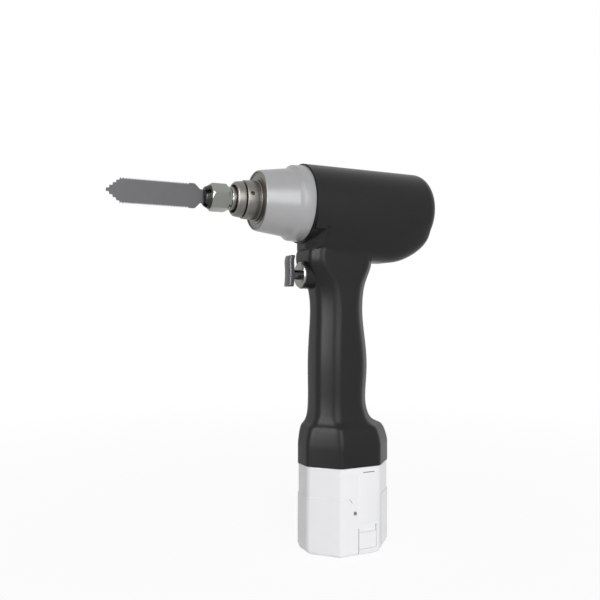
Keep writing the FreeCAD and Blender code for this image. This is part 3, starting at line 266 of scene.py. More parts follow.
world = bpy.data.worlds.new("white_room")
bpy.context.scene.world = world
world.use_nodes = True
room = Graph(world.node_tree)
seen = room.node("ShaderNodeLightPath", output="Is Camera Ray")
mirrored = room.node("ShaderNodeLightPath", output="Is Glossy Ray")
either = room.node("ShaderNodeMath", {"operation": "MAXIMUM"}, {0: seen, 1: mirrored})
limits = {"Value": either, "To Min": ROOM_LIGHT, "To Max": ROOM_SEEN}
strength = room.node("ShaderNodeMapRange", None, limits)
background = room.tree.nodes["Background"]
room.connect(background.inputs["Color"], WHITE)
room.connect(background.inputs["Strength"], strength)
bpy.context.scene.view_settings.view_transform = "Standard"
print("lamps:", len(LAMPS))

# %% [markdown]
# ## Finishes of the outside
# The barrel and the grip are moulded with a satin black coat: dark, a little uneven in gloss and with a
# very fine grain that breaks up its highlights. A plain black would look like a hole in the picture.

# %% Black coat
black = Finish("black_coat", Specular_IOR_Level=0.17)
spot = black.place()
cloud = black.noise(spot, scale=22.0)
grain = black.noise(spot, scale=2600.0, detail=2.0)
black.set("Base Color", black.blend(cloud, rgb(0.011, 0.011, 0.0115), rgb(0.016, 0.016, 0.0165)))
black.set("Roughness", 0.30 + cloud * 0.06 + grain * 0.04)
black.bump(grain, strength=0.12, distance=0.2 * MM)
print("made", black.material.name)

# %% [markdown]
# The nose is turned aluminium. A lathe leaves rings round the axis, so the pattern depends only on the
# distance along the barrel and from its axis. Stretched noise in those two numbers gives rings of
# uneven width, which look more real than an even wave.


# %% Turned metals
RING_SCALE = 5200.0
CLOUD_SCALE = 140.0


def turned_metal(name, light, dark, rough, ring_depth, metallic=1.0):
    """A lathe-turned metal between two colours, with rings this many millimetres deep."""
    metal = Finish(name, Metallic=metallic)
    along, radius = radius_from_barrel_axis(metal)
    lines = metal.noise(metal.vector(along, radius, 0.0), scale=RING_SCALE, detail=2.0)
    cloud = metal.noise(metal.place(), scale=CLOUD_SCALE)
    metal.set("Base Color", metal.blend(lines * 0.5 + cloud * 0.5, light, dark))
    metal.set("Roughness", rough + lines * 0.08 + cloud * 0.06)
    metal.bump(lines, strength=0.25, distance=ring_depth * MM)
    return metal.material


silver = turned_metal(
    "silver_nose_metal",
    light=rgb(0.38, 0.38, 0.382),
    dark=rgb(0.31, 0.31, 0.312),
    rough=0.25,
    ring_depth=0.03,
    metallic=0.1,
)
dark_steel = turned_metal(
    "dark_collar_metal",
    light=rgb(0.22, 0.21, 0.195),
    dark=rgb(0.13, 0.125, 0.115),
    rough=0.34,
    ring_depth=0.04,
)
chuck_steel = turned_metal(
    "blackened_chuck_metal",
    light=rgb(0.05, 0.05, 0.05),
    dark=rgb(0.03, 0.03, 0.03),
    rough=0.28,
    ring_depth=0.04,
)
bright_steel = turned_metal(
    "bright_turned_metal",
    light=rgb(0.26, 0.26, 0.25),
    dark=rgb(0.19, 0.19, 0.18),
    rough=0.26,
    ring_depth=0.03,
)
nut_steel = turned_metal(
    "hexagon_nut_metal",
    light=rgb(0.27, 0.28, 0.26),
    dark=rgb(0.19, 0.20, 0.185),
    rough=0.14,
    ring_depth=0.01,
)
print("turned metals ready")

# %% [markdown]
# The blade is ground flat along its length, so its scratches run that way. Grinding before hardening
# leaves it an even dull grey. The trigger is polished, with only faint wipe marks.

# %% Blade and trigger
STRETCH = 0.06
blade = Finish("ground_blade", Metallic=0.45)
along, across, up = blade.parts(blade.place())
scratches = blade.noise(blade.vector(along * STRETCH, across, up), scale=4200.0, detail=4.0)
cloud = blade.noise(blade.place(), scale=120.0)
blade.set("Base Color", blade.blend(scratches, rgb(0.09, 0.09, 0.094), rgb(0.068, 0.068, 0.072)))
blade.set("Roughness", 0.42 + scratches * 0.10 + cloud * 0.06)
blade.bump(scratches, strength=0.15, distance=0.02 * MM)

chrome = Finish("polished_trigger", Metallic=1.0)
wipes = chrome.noise(chrome.place(), scale=420.0, detail=4.0)
chrome.set("Base Color", chrome.blend(wipes, rgb(0.09, 0.09, 0.094), rgb(0.055, 0.055, 0.06)))
chrome.set("Roughness", 0.08 + wipes * 0.10)
print("blade and trigger ready")

# %% [markdown]
# The battery is glossy white plastic. Moulded plastic is never quite even: it flows a little, so its
# gloss changes slowly and its surface waves by a few hundredths of a millimetre.

# %% White plastic
white = Finish("white_gloss_case", IOR=1.5)
flow = white.noise(white.place(), scale=35.0)
fine = white.noise(white.place(), scale=900.0)
white.set("Base Color", white.blend(flow, rgb(0.85, 0.84, 0.84), rgb(0.815, 0.82, 0.83)))
white.set("Roughness", 0.16 + flow * 0.08 + fine * 0.04)
white.bump(flow + fine * 0.1, strength=0.2, distance=0.15 * MM)
print("made", white.material.name)

# %% [markdown]
# Gaps between mouldings are dark because little light gets in. They need a dull, dark finish of their own.

# %% Dark gaps
shadow_gap = Finish("dark_gap", Roughness=0.8, Specular_IOR_Level=0.1)
dust = shadow_gap.noise(shadow_gap.place(), scale=1200.0)
shadow_gap.set("Base Color", shadow_gap.blend(dust, rgb(0.10, 0.10, 0.10), rgb(0.17, 0.17, 0.17)))
print("made", shadow_gap.material.name)

# %% [markdown]
# ## Finishes of the inside
# These pieces show only when the saw is taken apart, but each still gets its own finish. They differ
# only in a few numbers, so one helper makes them all from a table.

# %% Inner finishes
INNER_FINISHES = {
    # slot: (name, light colour, dark colour, roughness, metallic, scale of the grain, its depth in mm)
    "inner_steel": ("ground_steel", (0.5, 0.5, 0.5), (0.4, 0.4, 0.4), 0.25, 1.0, 900, 0.03),
    "inner_aluminium": ("plain_alloy", (0.65, 0.65, 0.65), (0.55, 0.55, 0.55), 0.35, 1.0, 600, 0.03),
    "magnet": ("grey_magnet", (0.2, 0.2, 0.2), (0.14, 0.14, 0.15), 0.5, 0.3, 1500, 0.05),
    "bronze": ("warm_bronze", (0.58, 0.4, 0.17), (0.48, 0.33, 0.14), 0.3, 1.0, 800, 0.03),
    "seal_rubber": ("black_rubber", (0.035, 0.035, 0.035), (0.02, 0.02, 0.02), 0.7, 0.0, 1800, 0.1),
    "inner_plastic": ("black_plastic", (0.06, 0.06, 0.06), (0.04, 0.04, 0.04), 0.5, 0.0, 1500, 0.1),
    "circuit_board": ("green_board", (0.02, 0.17, 0.08), (0.02, 0.13, 0.06), 0.4, 0.0, 700, 0.1),
    "cell_wrap": ("blue_sleeve", (0.1, 0.22, 0.46), (0.08, 0.18, 0.4), 0.35, 0.0, 300, 0.05),
}


def plain_finish(name, light, dark, rough, metallic, scale, depth):
    finish = Finish(name, Metallic=metallic)
    grain = finish.noise(finish.place(), scale)
    finish.set("Base Color", finish.blend(grain, rgb(*light), rgb(*dark)))
    finish.set("Roughness", rough + grain * 0.1)
    finish.bump(grain, strength=0.2, distance=depth * MM)
    return finish.material


inner = {slot: plain_finish(*row) for slot, row in INNER_FINISHES.items()}
outer = {
    "black_shell": black.material,
    "silver_nose": silver,
    "dark_steel": dark_steel,
    "chuck_steel": chuck_steel,
    "bright_steel": bright_steel,
    "trigger_chrome": chrome.material,
    "blade_steel": blade.material,
    "white_case": white.material,
}
material_of = {**inner, **outer}
for row in frame["record"]["subparts"]:
    solid = frame["nodes"][row["node"]]
    solid.data.materials.clear()
    solid.data.materials.append(material_of[row["material_slot"]])

# %% [markdown]
# ## Shaping by hand
# Every detail below starts from one of Blender's primitives and is shaped in edit mode. An operator acts
# on whatever is selected, so these helpers first hold one piece alone. `choose` selects by place or by
# normal, as a hand would, and `modify` applies a modifier as soon as it is set.


# %% Helpers for shaping
def hold(piece):
    """Makes this piece the only selected one."""
    bpy.ops.object.select_all(action="DESELECT")
    piece.select_set(True)
    bpy.context.view_layer.objects.active = piece


def added(name):
    """Names the primitive that was just added and writes its place into its mesh."""
    piece = bpy.context.object
    piece.name = name
    hold(piece)
    bpy.ops.object.transform_apply(location=True, rotation=True, scale=True)
    return piece


def brick(name, low, high):
    """A block between two corners in millimetres."""
    middle = [(a + b) / 2 * MM for a, b in zip(low, high)]
    lengths = [(b - a) * MM for a, b in zip(low, high)]
    bpy.ops.object.select_all(action="DESELECT")
    bpy.ops.mesh.primitive_cube_add(size=1, location=middle, scale=lengths)
    return added(name)


def barrel_rod(name, start, end, radius, up=None, vertices=64):
    """A rod along the barrel between two places in millimetres, on its axis or at another height."""
    height = AXIS_HEIGHT if up is None else up * MM
    bpy.ops.object.select_all(action="DESELECT")
    bpy.ops.mesh.primitive_cylinder_add(
        vertices=vertices,
        radius=radius * MM,
        depth=(end - start) * MM,
        location=((start + end) / 2 * MM, 0, height),
        rotation=(0, math.radians(90), 0),
    )
    return added(name)


def choose(piece, kind, test):
    """Selects the faces or edges that pass a test, and stays in edit mode."""
    hold(piece)
    bpy.ops.object.mode_set(mode="EDIT")
    bpy.ops.mesh.select_mode(type=kind)
    bpy.ops.mesh.select_all(action="DESELECT")
    bpy.ops.object.mode_set(mode="OBJECT")
    if kind == "FACE":
        for face in piece.data.polygons:
            face.select = test(face.center / MM, face.normal)
    else:
        for edge in piece.data.edges:
            first, last = [piece.data.vertices[index].co / MM for index in edge.vertices]
            edge.select = test(first, last)
    bpy.ops.object.mode_set(mode="EDIT")


def done():
    """Turns the normals outwards and leaves edit mode."""
    bpy.ops.mesh.select_all(action="SELECT")
    bpy.ops.mesh.normals_make_consistent(inside=False)
    bpy.ops.object.mode_set(mode="OBJECT")


def settle(piece):
    """Writes a piece's place, turn and scale into its mesh, and turns its normals outwards again."""
    hold(piece)
    bpy.ops.object.transform_apply(location=True, rotation=True, scale=True)
    bpy.ops.object.mode_set(mode="EDIT")
    done()


def modify(piece, kind, **settings):
    """Adds a modifier and applies it at once."""
    hold(piece)
    change = piece.modifiers.new(kind.lower(), kind)
    for name, value in settings.items():
        setattr(change, name, value)
    bpy.ops.object.modifier_apply(modifier=change.name)


def cut_by(piece, tool, operation="DIFFERENCE"):
    """Cuts a piece by another one, which is then removed."""
    modify(piece, "BOOLEAN", operation=operation, object=tool, solver="EXACT")
    bpy.data.objects.remove(tool, do_unlink=True)


def soften(piece, width, segments=2, angle=30):
    """Rounds the sharp edges a little, so that they catch the light."""
    modify(
        piece,
        "BEVEL",
        width=width * MM,
        segments=segments,
        limit_method="ANGLE",
        angle_limit=math.radians(angle),
    )


def fit(piece, body, slot, materials, *nodes, angle=32):
    """Smooths a finished piece, gives it its finish and its body, and hides the solids it stands for."""
    hold(piece)
    bpy.ops.object.shade_smooth_by_angle(angle=math.radians(angle))
    for material in materials:
        piece.data.materials.append(material)
    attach(piece, body)
    if nodes:
        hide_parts(*nodes)
    print(piece.name, "faces:", len(piece.data.polygons))


print("shaping helpers ready")

# %% [markdown]
# ## Turned pieces
# The nose and the collars come off a lathe. In Blender we do what a lathe does backwards: a ring of
# points on the axis is pushed along it step by step, and each new ring is scaled to its own radius.
# Joining the last ring to the first closes the wall, and a small bevel breaks each sharp corner.


# %% A turned wall from its profile
TOUCHING = 0.01


def turned_wall(name, profile, vertices=128, corner=0.2):
    """A ring of metal from (place along the barrel, radius) points in millimetres, all the way round."""
    start, radius = profile[0]
    bpy.ops.object.select_all(action="DESELECT")
    bpy.ops.mesh.primitive_circle_add(
        vertices=vertices,
        radius=radius * MM,
        location=(start * MM, 0, AXIS_HEIGHT),
        rotation=(0, math.radians(90), 0),
    )
    piece = added(name)
    bpy.ops.object.mode_set(mode="EDIT")
    bpy.ops.mesh.select_mode(type="EDGE")
    bpy.ops.mesh.select_all(action="SELECT")
    for (here, radius), (ahead, wider) in zip(profile, profile[1:]):
        bpy.ops.mesh.extrude_region_move(TRANSFORM_OT_translate={"value": ((ahead - here) * MM, 0, 0)})
        change = wider / radius
        bpy.ops.transform.resize(value=(1, change, change), center_override=(ahead * MM, 0, AXIS_HEIGHT))
    bpy.ops.object.mode_set(mode="OBJECT")
    ends = [profile[0], profile[-1]]

    def at_an_end(first, last):
        for place, radius in ends:
            misses = [
                abs(spot.x - place) + abs(math.hypot(spot.y, spot.z - AXIS_HEIGHT / MM) - radius)
                for spot in (first, last)
            ]
            if max(misses) < TOUCHING:
                return True
        return False

    choose(piece, "EDGE", at_an_end)
    bpy.ops.mesh.bridge_edge_loops()
    done()
    soften(piece, corner)
    return piece


print("lathe ready")

# %% [markdown]
# The nose is a slim cone. Behind it a bevel of about 45 degrees rises to a flange, and a fine groove
# parts the flange from the black barrel. That bevel is what catches the bright line in the photograph,
# so it gets its own two points instead of a soft curve. The front face gets the darker collar metal, like
# the plate in it: painted shade for the dark surroundings that this face reflects.

# %% Nose
NOSE_PROFILE = [
    (-60.6, 16.9),
    (-60.6, 17.3),
    (-60.1, 17.9),
    (-57.8, 18.5),
    (-40.8, 20.9),
    (-40.3, 21.1),
    (-38.3, 23.1),
    (-31.3, 23.6),
    (-31.3, 23.0),
    (-31.02, 23.0),
    (-31.02, 22.1),
    (-24.0, 22.1),
    (-24.0, 18.7),
    (-34.0, 18.7),
    (-37.0, 16.2),
    (-54.9, 16.2),
    (-54.9, 13.2),
    (-56.9, 13.2),
    (-56.9, 16.9),
]
PAINTED_SHADE_EDGE = -60.3
nose = turned_wall("turned_nose", NOSE_PROFILE, corner=0.25)
fit(nose, "handle", "silver_nose", [silver, dark_steel], "nose_housing")
# The faces ahead of this edge get the second, darker metal: painted shade on the front face.
for face in nose.data.polygons:
    if face.center.x < PAINTED_SHADE_EDGE * MM:
        face.material_index = 1

# %% [markdown]
# In front of the nose sit two dark collars. The rear one is locked by a small screw in a cross hole; the
# front one has a bevelled nose and a wide bore, in which the ram's bright ring moves. Both have a fine
# groove where they meet, as parts that are turned singly always show.

# %% Collars
HOLE_ANGLE = math.radians(11)
HOLE_PLACE = -66.8
CROSS_HOLE = {"inner": 6, "outer": 14, "radius": 1.3}
SET_SCREW = {"inner": 6.7, "outer": 9.9, "radius": 1.2}
SET_SCREW_SOCKET = {"inner": 8.9, "outer": 11, "radius": 0.6}
radial = Vector((0, -math.cos(HOLE_ANGLE), math.sin(HOLE_ANGLE)))


def radial_rod(name, inner, outer, radius, vertices=48):
    """A rod that points out of the rear collar through its cross hole, between two radii."""
    middle = Vector((HOLE_PLACE * MM, 0, AXIS_HEIGHT)) + radial * ((inner + outer) / 2 * MM)
    bpy.ops.object.select_all(action="DESELECT")
    bpy.ops.mesh.primitive_cylinder_add(
        vertices=vertices,
        radius=radius * MM,
        depth=(outer - inner) * MM,
        location=middle,
        rotation=radial.to_track_quat("Z", "X").to_euler(),
    )
    return added(name)


REAR_COLLAR = [
    (-69.4, 9.0),
    (-69.4, 11.0),
    (-68.8, 11.5),
    (-62.1, 11.8),
    (-62.1, 11.4),
    (-61.7, 11.4),
    (-61.7, 12.4),
    (-60.3, 12.4),
    (-60.3, 6.6),
    (-68.4, 6.6),
    (-68.4, 9.0),
]
FRONT_COLLAR = [
    (-75.0, 8.4),
    (-75.0, 9.4),
    (-74.0, 10.3),
    (-70.5, 10.8),
    (-70.0, 10.4),
    (-70.0, 8.9),
    (-68.5, 8.9),
    (-68.5, 3.6),
    (-69.6, 3.6),
    (-69.6, 8.4),
]
rear_collar = turned_wall("rear_collar", REAR_COLLAR)
cut_by(rear_collar, radial_rod("cross_hole", **CROSS_HOLE))
fit(rear_collar, "handle", "dark_steel", [dark_steel], "lock_collar")
front_collar = turned_wall("front_collar", FRONT_COLLAR)
fit(front_collar, "handle", "dark_steel", [dark_steel], "wiper_cap")
set_screw = radial_rod("set_screw", **SET_SCREW)
cut_by(set_screw, radial_rod("set_screw_socket", **SET_SCREW_SOCKET, vertices=6))
soften(set_screw, 0.08)
fit(set_screw, "handle", "dark_steel", [dark_steel], "lock_screw")

# %% [markdown]
# ## Neck
# Under the nose the real housing has no shoulders: the neck rises straight to the barrel and its front
# is a narrow prow. The solid's keel starts wider there. So we take a copy of the housing, merge its loose
# triangles, and plane off the two front corners with a wedge that is hollowed to the barrel's radius.
# A tapered block then gives the neck its smooth prow from the trigger's boss up to the barrel.

# %% Planed neck
NECK_FRONT, NECK_BACK = -32.0, -19.0
PROW_HALF_WIDTH = 2.4
WEDGE_FOOT, WEDGE_TOP = 185.6, 198
WEDGE_SIDE, WEDGE_TIP = 27, 0.5
PROW_FRONT, PROW_BACK = -31.15, -21.5
PROW_FOOT, PROW_TOP = 180.2, 199
PROW_NOSE, PROW_SPREAD, PROW_FOOT_SPREAD = 3.4, 23.4, 9.0
PROW_ROUNDING = 1.5
BARREL_SKIN, BARREL_INSIDE = 24.58, 24.0
ROD_FRONT, ROD_BACK, ROD_SIDES = -40, -10, 256
MERGED = 0.002

housing = frame["nodes"]["main_housing"].copy()
housing.data = housing.data.copy()
housing.name = "planed_housing"
bpy.context.collection.objects.link(housing)
hold(housing)
bpy.ops.object.mode_set(mode="EDIT")
bpy.ops.mesh.select_all(action="SELECT")
bpy.ops.mesh.remove_doubles(threshold=MERGED * MM)
bpy.ops.object.mode_set(mode="OBJECT")
for side in (-1, 1):
    wedge = brick("wedge", (NECK_FRONT, PROW_HALF_WIDTH, WEDGE_FOOT), (NECK_BACK, WEDGE_SIDE, WEDGE_TOP))
    choose(wedge, "EDGE", lambda a, b: min(a.x, b.x) > NECK_BACK - 1 and max(a.y, b.y) < WEDGE_SIDE / 2)
    bpy.ops.transform.translate(value=(0, (WEDGE_SIDE - PROW_HALF_WIDTH - WEDGE_TIP) * MM, 0))
    done()
    wedge.scale.y = side
    settle(wedge)
    cut_by(wedge, barrel_rod("barrel_shape", ROD_FRONT, ROD_BACK, BARREL_SKIN, vertices=ROD_SIDES))
    cut_by(housing, wedge)

prow = brick("prow", (PROW_FRONT, -PROW_NOSE, PROW_FOOT), (PROW_BACK, PROW_NOSE, PROW_TOP))
for level, spread in ((PROW_TOP, PROW_SPREAD), (PROW_FOOT, PROW_FOOT_SPREAD)):
    choose(prow, "EDGE", lambda a, b: min(a.x, b.x) > PROW_BACK - 1 and abs(a.z + b.z - 2 * level) < 1)
    bpy.ops.transform.resize(value=(1, spread / PROW_NOSE, 1), center_override=(0, 0, 0))
    done()
choose(prow, "EDGE", lambda a, b: max(a.x, b.x) < PROW_FRONT + 1 and abs(a.z - b.z) > 1)
bpy.ops.mesh.bevel(offset=PROW_ROUNDING * MM, segments=5)
done()
cut_by(prow, barrel_rod("barrel_shape", ROD_FRONT, ROD_BACK, BARREL_INSIDE, vertices=ROD_SIDES))
cut_by(housing, prow, "UNION")
hold(housing)
bpy.ops.mesh.customdata_custom_splitnormals_clear()
fit(housing, "handle", "black_shell", [], "main_housing", angle=50)

# %% [markdown]
# ## Chuck
# The nut is cut from hexagon bar. Its ends are turned down afterwards, which leaves the curved chamfer
# that every real nut has. We copy that order: a six-sided rod, kept only where it lies inside a turned
# envelope with bevelled ends.

# %% Nut
NUT_REAR, NUT_FRONT = -79.4, -89.8
NUT_CORNER, NUT_BORE = 8.5, 6.1
NUT_FRONT_FACE, NUT_REAR_FACE = 7.3, 7.5
NUT_FRONT_BEVEL, NUT_REAR_BEVEL = 1.3, 1.0
SHOULDER_REAR, SHOULDER = -77.9, 6.95
SPARE, SHOULDER_SPARE = 0.1, 0.05
CORNER_ANGLE = math.radians(10)
CORNER_BREAK = 0.15

nut = barrel_rod("hexagon_nut", NUT_FRONT, NUT_REAR, NUT_CORNER, vertices=6)
bpy.ops.object.mode_set(mode="EDIT")
bpy.ops.mesh.select_all(action="SELECT")
corners = [vertex.co for vertex in nut.data.vertices]
first_angle = min(math.atan2(spot.z - AXIS_HEIGHT, -spot.y) % math.radians(60) for spot in corners)
bpy.ops.transform.rotate(
    value=CORNER_ANGLE - first_angle, orient_axis="X", center_override=(0, 0, AXIS_HEIGHT)
)
bpy.ops.object.mode_set(mode="OBJECT")
cut_by(nut, barrel_rod("nut_shoulder", NUT_REAR - 1, SHOULDER_REAR, SHOULDER, vertices=128), "UNION")
envelope = turned_wall(
    "nut_envelope",
    [
        (NUT_FRONT, NUT_BORE),
        (NUT_FRONT, NUT_FRONT_FACE),
        (NUT_FRONT + NUT_FRONT_BEVEL, NUT_CORNER + SPARE),
        (NUT_REAR - NUT_REAR_BEVEL, NUT_CORNER + SPARE),
        (NUT_REAR, NUT_REAR_FACE),
        (NUT_REAR, SHOULDER + SHOULDER_SPARE),
        (SHOULDER_REAR + SPARE, SHOULDER + SHOULDER_SPARE),
        (SHOULDER_REAR + SPARE, NUT_BORE),
    ],
    corner=0.01,
)
cut_by(nut, envelope, "INTERSECT")
soften(nut, 0.22)
corner_angles = [
    round(math.degrees(math.atan2(vertex.co.z - AXIS_HEIGHT, -vertex.co.y)), 1)
    for vertex in nut.data.vertices
    if math.hypot(vertex.co.y, vertex.co.z - AXIS_HEIGHT) > (NUT_CORNER - CORNER_BREAK) * MM
]
print("corner angles from", min(corner_angles), "to", max(corner_angles))
fit(nut, "nut", "bright_steel", [nut_steel], "collet_nut")

# %% [markdown]
# The collet is a blackened cone with a rounded front. Four U-shaped notches let it close on the blade,
# and a slot down its middle takes the blade's shank. A rod, a cone and a rounded front are one turned
# profile; the notches and the slot are cut out of it, as a mill would do.

# %% Collet
COLLET_TIP, COLLET_REAR = -93.4, -78.6
COLLET_BORE, COLLET_STEM = 0.2, 4.2
NOTCHES, NOTCH_ANGLE = 4, 68
NOTCH_HALF_WIDTH, NOTCH_DEPTH, NOTCH_ROUNDING = 1.4, 3.2, 1.3
NOTCH_INNER, NOTCH_OUTER = 4.1, 9.5
SLOT_FRONT, SLOT_REAR = -95, -82.0
SLOT_HALF_WIDTH, SLOT_HALF_HEIGHT = 0.6, 4.1

collet = turned_wall(
    "slotted_collet",
    [
        (COLLET_REAR, COLLET_BORE),
        (COLLET_REAR, COLLET_STEM),
        (NUT_FRONT, COLLET_STEM),
        (NUT_FRONT, 7.2),
        (-90.2, 6.9),
        (-92.2, 6.0),
        (-93.1, 5.3),
        (COLLET_TIP, 4.6),
        (COLLET_TIP, COLLET_BORE),
    ],
    vertices=96,
    corner=0.12,
)
for number in range(NOTCHES):
    low = (COLLET_TIP - 2, -NOTCH_HALF_WIDTH, NOTCH_INNER)
    high = (COLLET_TIP + NOTCH_DEPTH, NOTCH_HALF_WIDTH, NOTCH_OUTER)
    notch = brick("notch", low, high)
    notch.location.z = AXIS_HEIGHT
    choose(notch, "EDGE", lambda a, b: min(a.x, b.x) > COLLET_TIP and abs(a.z - b.z) > 1)
    bpy.ops.mesh.bevel(offset=NOTCH_ROUNDING * MM, segments=6)
    done()
    notch.rotation_euler.x = math.radians(NOTCH_ANGLE + 360 / NOTCHES * number)
    settle(notch)
    cut_by(collet, notch)
height = AXIS_HEIGHT / MM
low = (SLOT_FRONT, -SLOT_HALF_WIDTH, height - SLOT_HALF_HEIGHT)
high = (SLOT_REAR, SLOT_HALF_WIDTH, height + SLOT_HALF_HEIGHT)
cut_by(collet, brick("shank_slot", low, high))
fit(collet, "collet", "chuck_steel", [chuck_steel], "collet")

# %% [markdown]
# ## Trigger
# The trigger is a narrow polished bar, hollowed for the finger and drawn back at its top. A flat plate
# pushed upwards in short steps, each a little further forwards or back, follows that curve.

# %% Trigger
TRIGGER_FOOT, TRIGGER_HEAD = 163.6, 182.9
TRIGGER_PLACE, TRIGGER_THICKNESS, TRIGGER_WIDTH = -38.3, 3.2, 8.4
TRIGGER_AXIS = 171
TRIGGER_STEPS = 12
FINGER_DEPTH, FINGER_SPAN = 0.5, 1.15
HEAD_START, HEAD_LEAN = 0.8, 1.0
STUB_FRONT, STUB_BACK, STUB_RADIUS = -38.0, -35.7, 3.0

bpy.ops.object.select_all(action="DESELECT")
bpy.ops.mesh.primitive_plane_add(size=1, location=(TRIGGER_PLACE * MM, 0, TRIGGER_FOOT * MM))
trigger = bpy.context.object
trigger.scale = (TRIGGER_THICKNESS * MM, TRIGGER_WIDTH * MM, 1)
trigger = added("finger_trigger")


def hollow(share):
    """How far back the bar lies at this share of its height, in millimetres."""
    finger = FINGER_DEPTH * math.sin(math.pi * min(share * FINGER_SPAN, 1))
    head = HEAD_LEAN * max(share - HEAD_START, 0) / (1 - HEAD_START)
    return finger + head


bpy.ops.object.mode_set(mode="EDIT")
bpy.ops.mesh.select_mode(type="FACE")
bpy.ops.mesh.select_all(action="SELECT")
for step in range(TRIGGER_STEPS):
    here, ahead = step / TRIGGER_STEPS, (step + 1) / TRIGGER_STEPS
    shift = (hollow(ahead) - hollow(here)) * MM
    rise = (TRIGGER_HEAD - TRIGGER_FOOT) / TRIGGER_STEPS * MM
    bpy.ops.mesh.extrude_region_move(TRANSFORM_OT_translate={"value": (shift, 0, rise)})
done()
soften(trigger, 0.7, segments=4, angle=40)
stub = barrel_rod("trigger_stub", STUB_FRONT, STUB_BACK, STUB_RADIUS, up=TRIGGER_AXIS)
hold(trigger)
stub.select_set(True)
bpy.ops.object.join()
fit(trigger, "trigger", "trigger_chrome", [chrome.material], "trigger_pad")

# %% [markdown]
# ## Battery
# Both sides of the case have the same moulded details: a fine slot near the top, a slightly raised
# panel, and dark joint lines round the release button that run down to the base. A line on a moulded
# case is a narrow gap, so it is laid in as a thin dark strip, which follows the rounded lower edge.

# %% Battery sides
SIDE = 22.0
EDGE_ROUNDING = 4.0
PROUD = 0.03
THIN = 0.01
PANEL = {"left": -2.1, "right": 11.6, "bottom": 20.0, "top": 49.0}
PANEL_SUNK, PANEL_PROUD, PANEL_ROUNDING = 0.2, 0.05, 1.4
RIM_WIDTH, RIM_RISE = 0.5, 0.2
SLOT = {"left": 1.7, "right": 9.6, "bottom": 50.4, "top": 50.9}
SLOT_SUNK, SLOT_ROUNDING = 0.2, 0.22
LINE_SUNK = 0.3
LINE_LEFT, LINE_WIDTH = -1.55, 0.32
LINE_HEIGHTS = [17.0, EDGE_ROUNDING + THIN, 3.2, 2.5, 1.7]
ARC_LEFT, ARC_FOOT, ARC_WIDTH = -5.2, 26.6, 0.3
ARC_REACH, ARC_RISE, ARC_STEPS = 3.3, 8.8, 8


def lay_on_case(piece, side):
    """Moves a piece that was made round the middle plane onto the near or the far side."""
    piece.scale.y = side
    piece.location.y = SIDE * side * MM
    settle(piece)
    return piece


def raised_panel(side):
    """A panel a quarter of a millimetre proud, with round corners and a sloping rim."""
    low = (PANEL["left"], -PANEL_SUNK, PANEL["bottom"])
    high = (PANEL["right"], PANEL_PROUD, PANEL["top"])
    panel = brick("panel", low, high)
    choose(panel, "EDGE", lambda a, b: abs(a.y - b.y) > 0.1)
    bpy.ops.mesh.bevel(offset=PANEL_ROUNDING * MM, segments=6)
    bpy.ops.object.mode_set(mode="OBJECT")
    choose(panel, "FACE", lambda middle, normal: normal.y > 0.9)
    bpy.ops.mesh.inset(thickness=RIM_WIDTH * MM)
    bpy.ops.transform.translate(value=(0, RIM_RISE * MM, 0))
    done()
    return lay_on_case(panel, side)


def side_slot(side):
    """The fine slot over the panel, a flat capsule with round ends."""
    low = (SLOT["left"], -SLOT_SUNK, SLOT["bottom"])
    slot = brick("side_slot", low, (SLOT["right"], PROUD, SLOT["top"]))
    choose(slot, "EDGE", lambda a, b: abs(a.y - b.y) > 0.1)
    bpy.ops.mesh.bevel(offset=SLOT_ROUNDING * MM, segments=3)
    done()
    return lay_on_case(slot, side)


def case_depth(height):
    """How far the case's rounded lower edge draws in at this height, in millimetres."""
    low = max(EDGE_ROUNDING - height, 0)
    return EDGE_ROUNDING - math.sqrt(EDGE_ROUNDING**2 - low**2)


def joint_line(side):
    """A thin dark strip down the side of the case and round its lower edge."""
    top = LINE_HEIGHTS[0]
    strip = brick("joint_line", (LINE_LEFT, -LINE_SUNK, top - THIN), (LINE_LEFT + LINE_WIDTH, PROUD, top))
    choose(strip, "FACE", lambda middle, normal: normal.z < -0.9)
    for here, ahead in zip(LINE_HEIGHTS, LINE_HEIGHTS[1:]):
        draw_in = (case_depth(here) - case_depth(ahead)) * MM
        bpy.ops.mesh.extrude_region_move(
            TRANSFORM_OT_translate={"value": (0, draw_in, (ahead - here) * MM)}
        )
    done()
    return lay_on_case(strip, side)


def latch_arc(side):
    """The curved joint over the front pin: a flat square pushed along a quarter of an ellipse."""
    low = (ARC_LEFT, -LINE_SUNK, ARC_FOOT)
    high = (ARC_LEFT + ARC_WIDTH, PROUD, ARC_FOOT + THIN)
    strip = brick("latch_arc", low, high)
    choose(strip, "FACE", lambda middle, normal: normal.z > 0.9)
    for step in range(ARC_STEPS):
        here = math.radians(90) * step / ARC_STEPS
        ahead = math.radians(90) * (step + 1) / ARC_STEPS
        across = -ARC_REACH * (math.cos(here) - math.cos(ahead)) * MM
        upwards = ARC_RISE * (math.sin(ahead) - math.sin(here)) * MM
        bpy.ops.mesh.extrude_region_move(TRANSFORM_OT_translate={"value": (across, 0, upwards)})
    done()
    return lay_on_case(strip, side)


for side, where in ((-1, "near"), (1, "far")):
    panel = raised_panel(side)
    slot = side_slot(side)
    lines = [joint_line(side), latch_arc(side)]
    panel.name = f"raised_panel_{where}"
    fit(panel, "battery", "white_case", [white.material])
    slot.name = f"side_slot_{where}"
    fit(slot, "battery", "inner_plastic", [shadow_gap.material])
    for number, line in enumerate(lines):
        line.name = f"joint_line_{where}_{number}"
        fit(line, "battery", "inner_plastic", [shadow_gap.material])

# %% [markdown]
# The case ends in a thin lip that closes against the foot. It shows as a bright line under the black
# housing. An octagon with rounded corners comes from a plain block: one wide bevel of its upright edges
# cuts the corners, and a second, small one rounds them.

# %% Battery lip
LIP_HALF_DEPTH, LIP_HALF_WIDTH = 28.9, 22.4
LIP_FOOT, LIP_TOP = 52.9, 53.9
LIP_CHAMFER, LIP_ROUNDING = 15.44, 2.05
LIP_WALL = 0.9

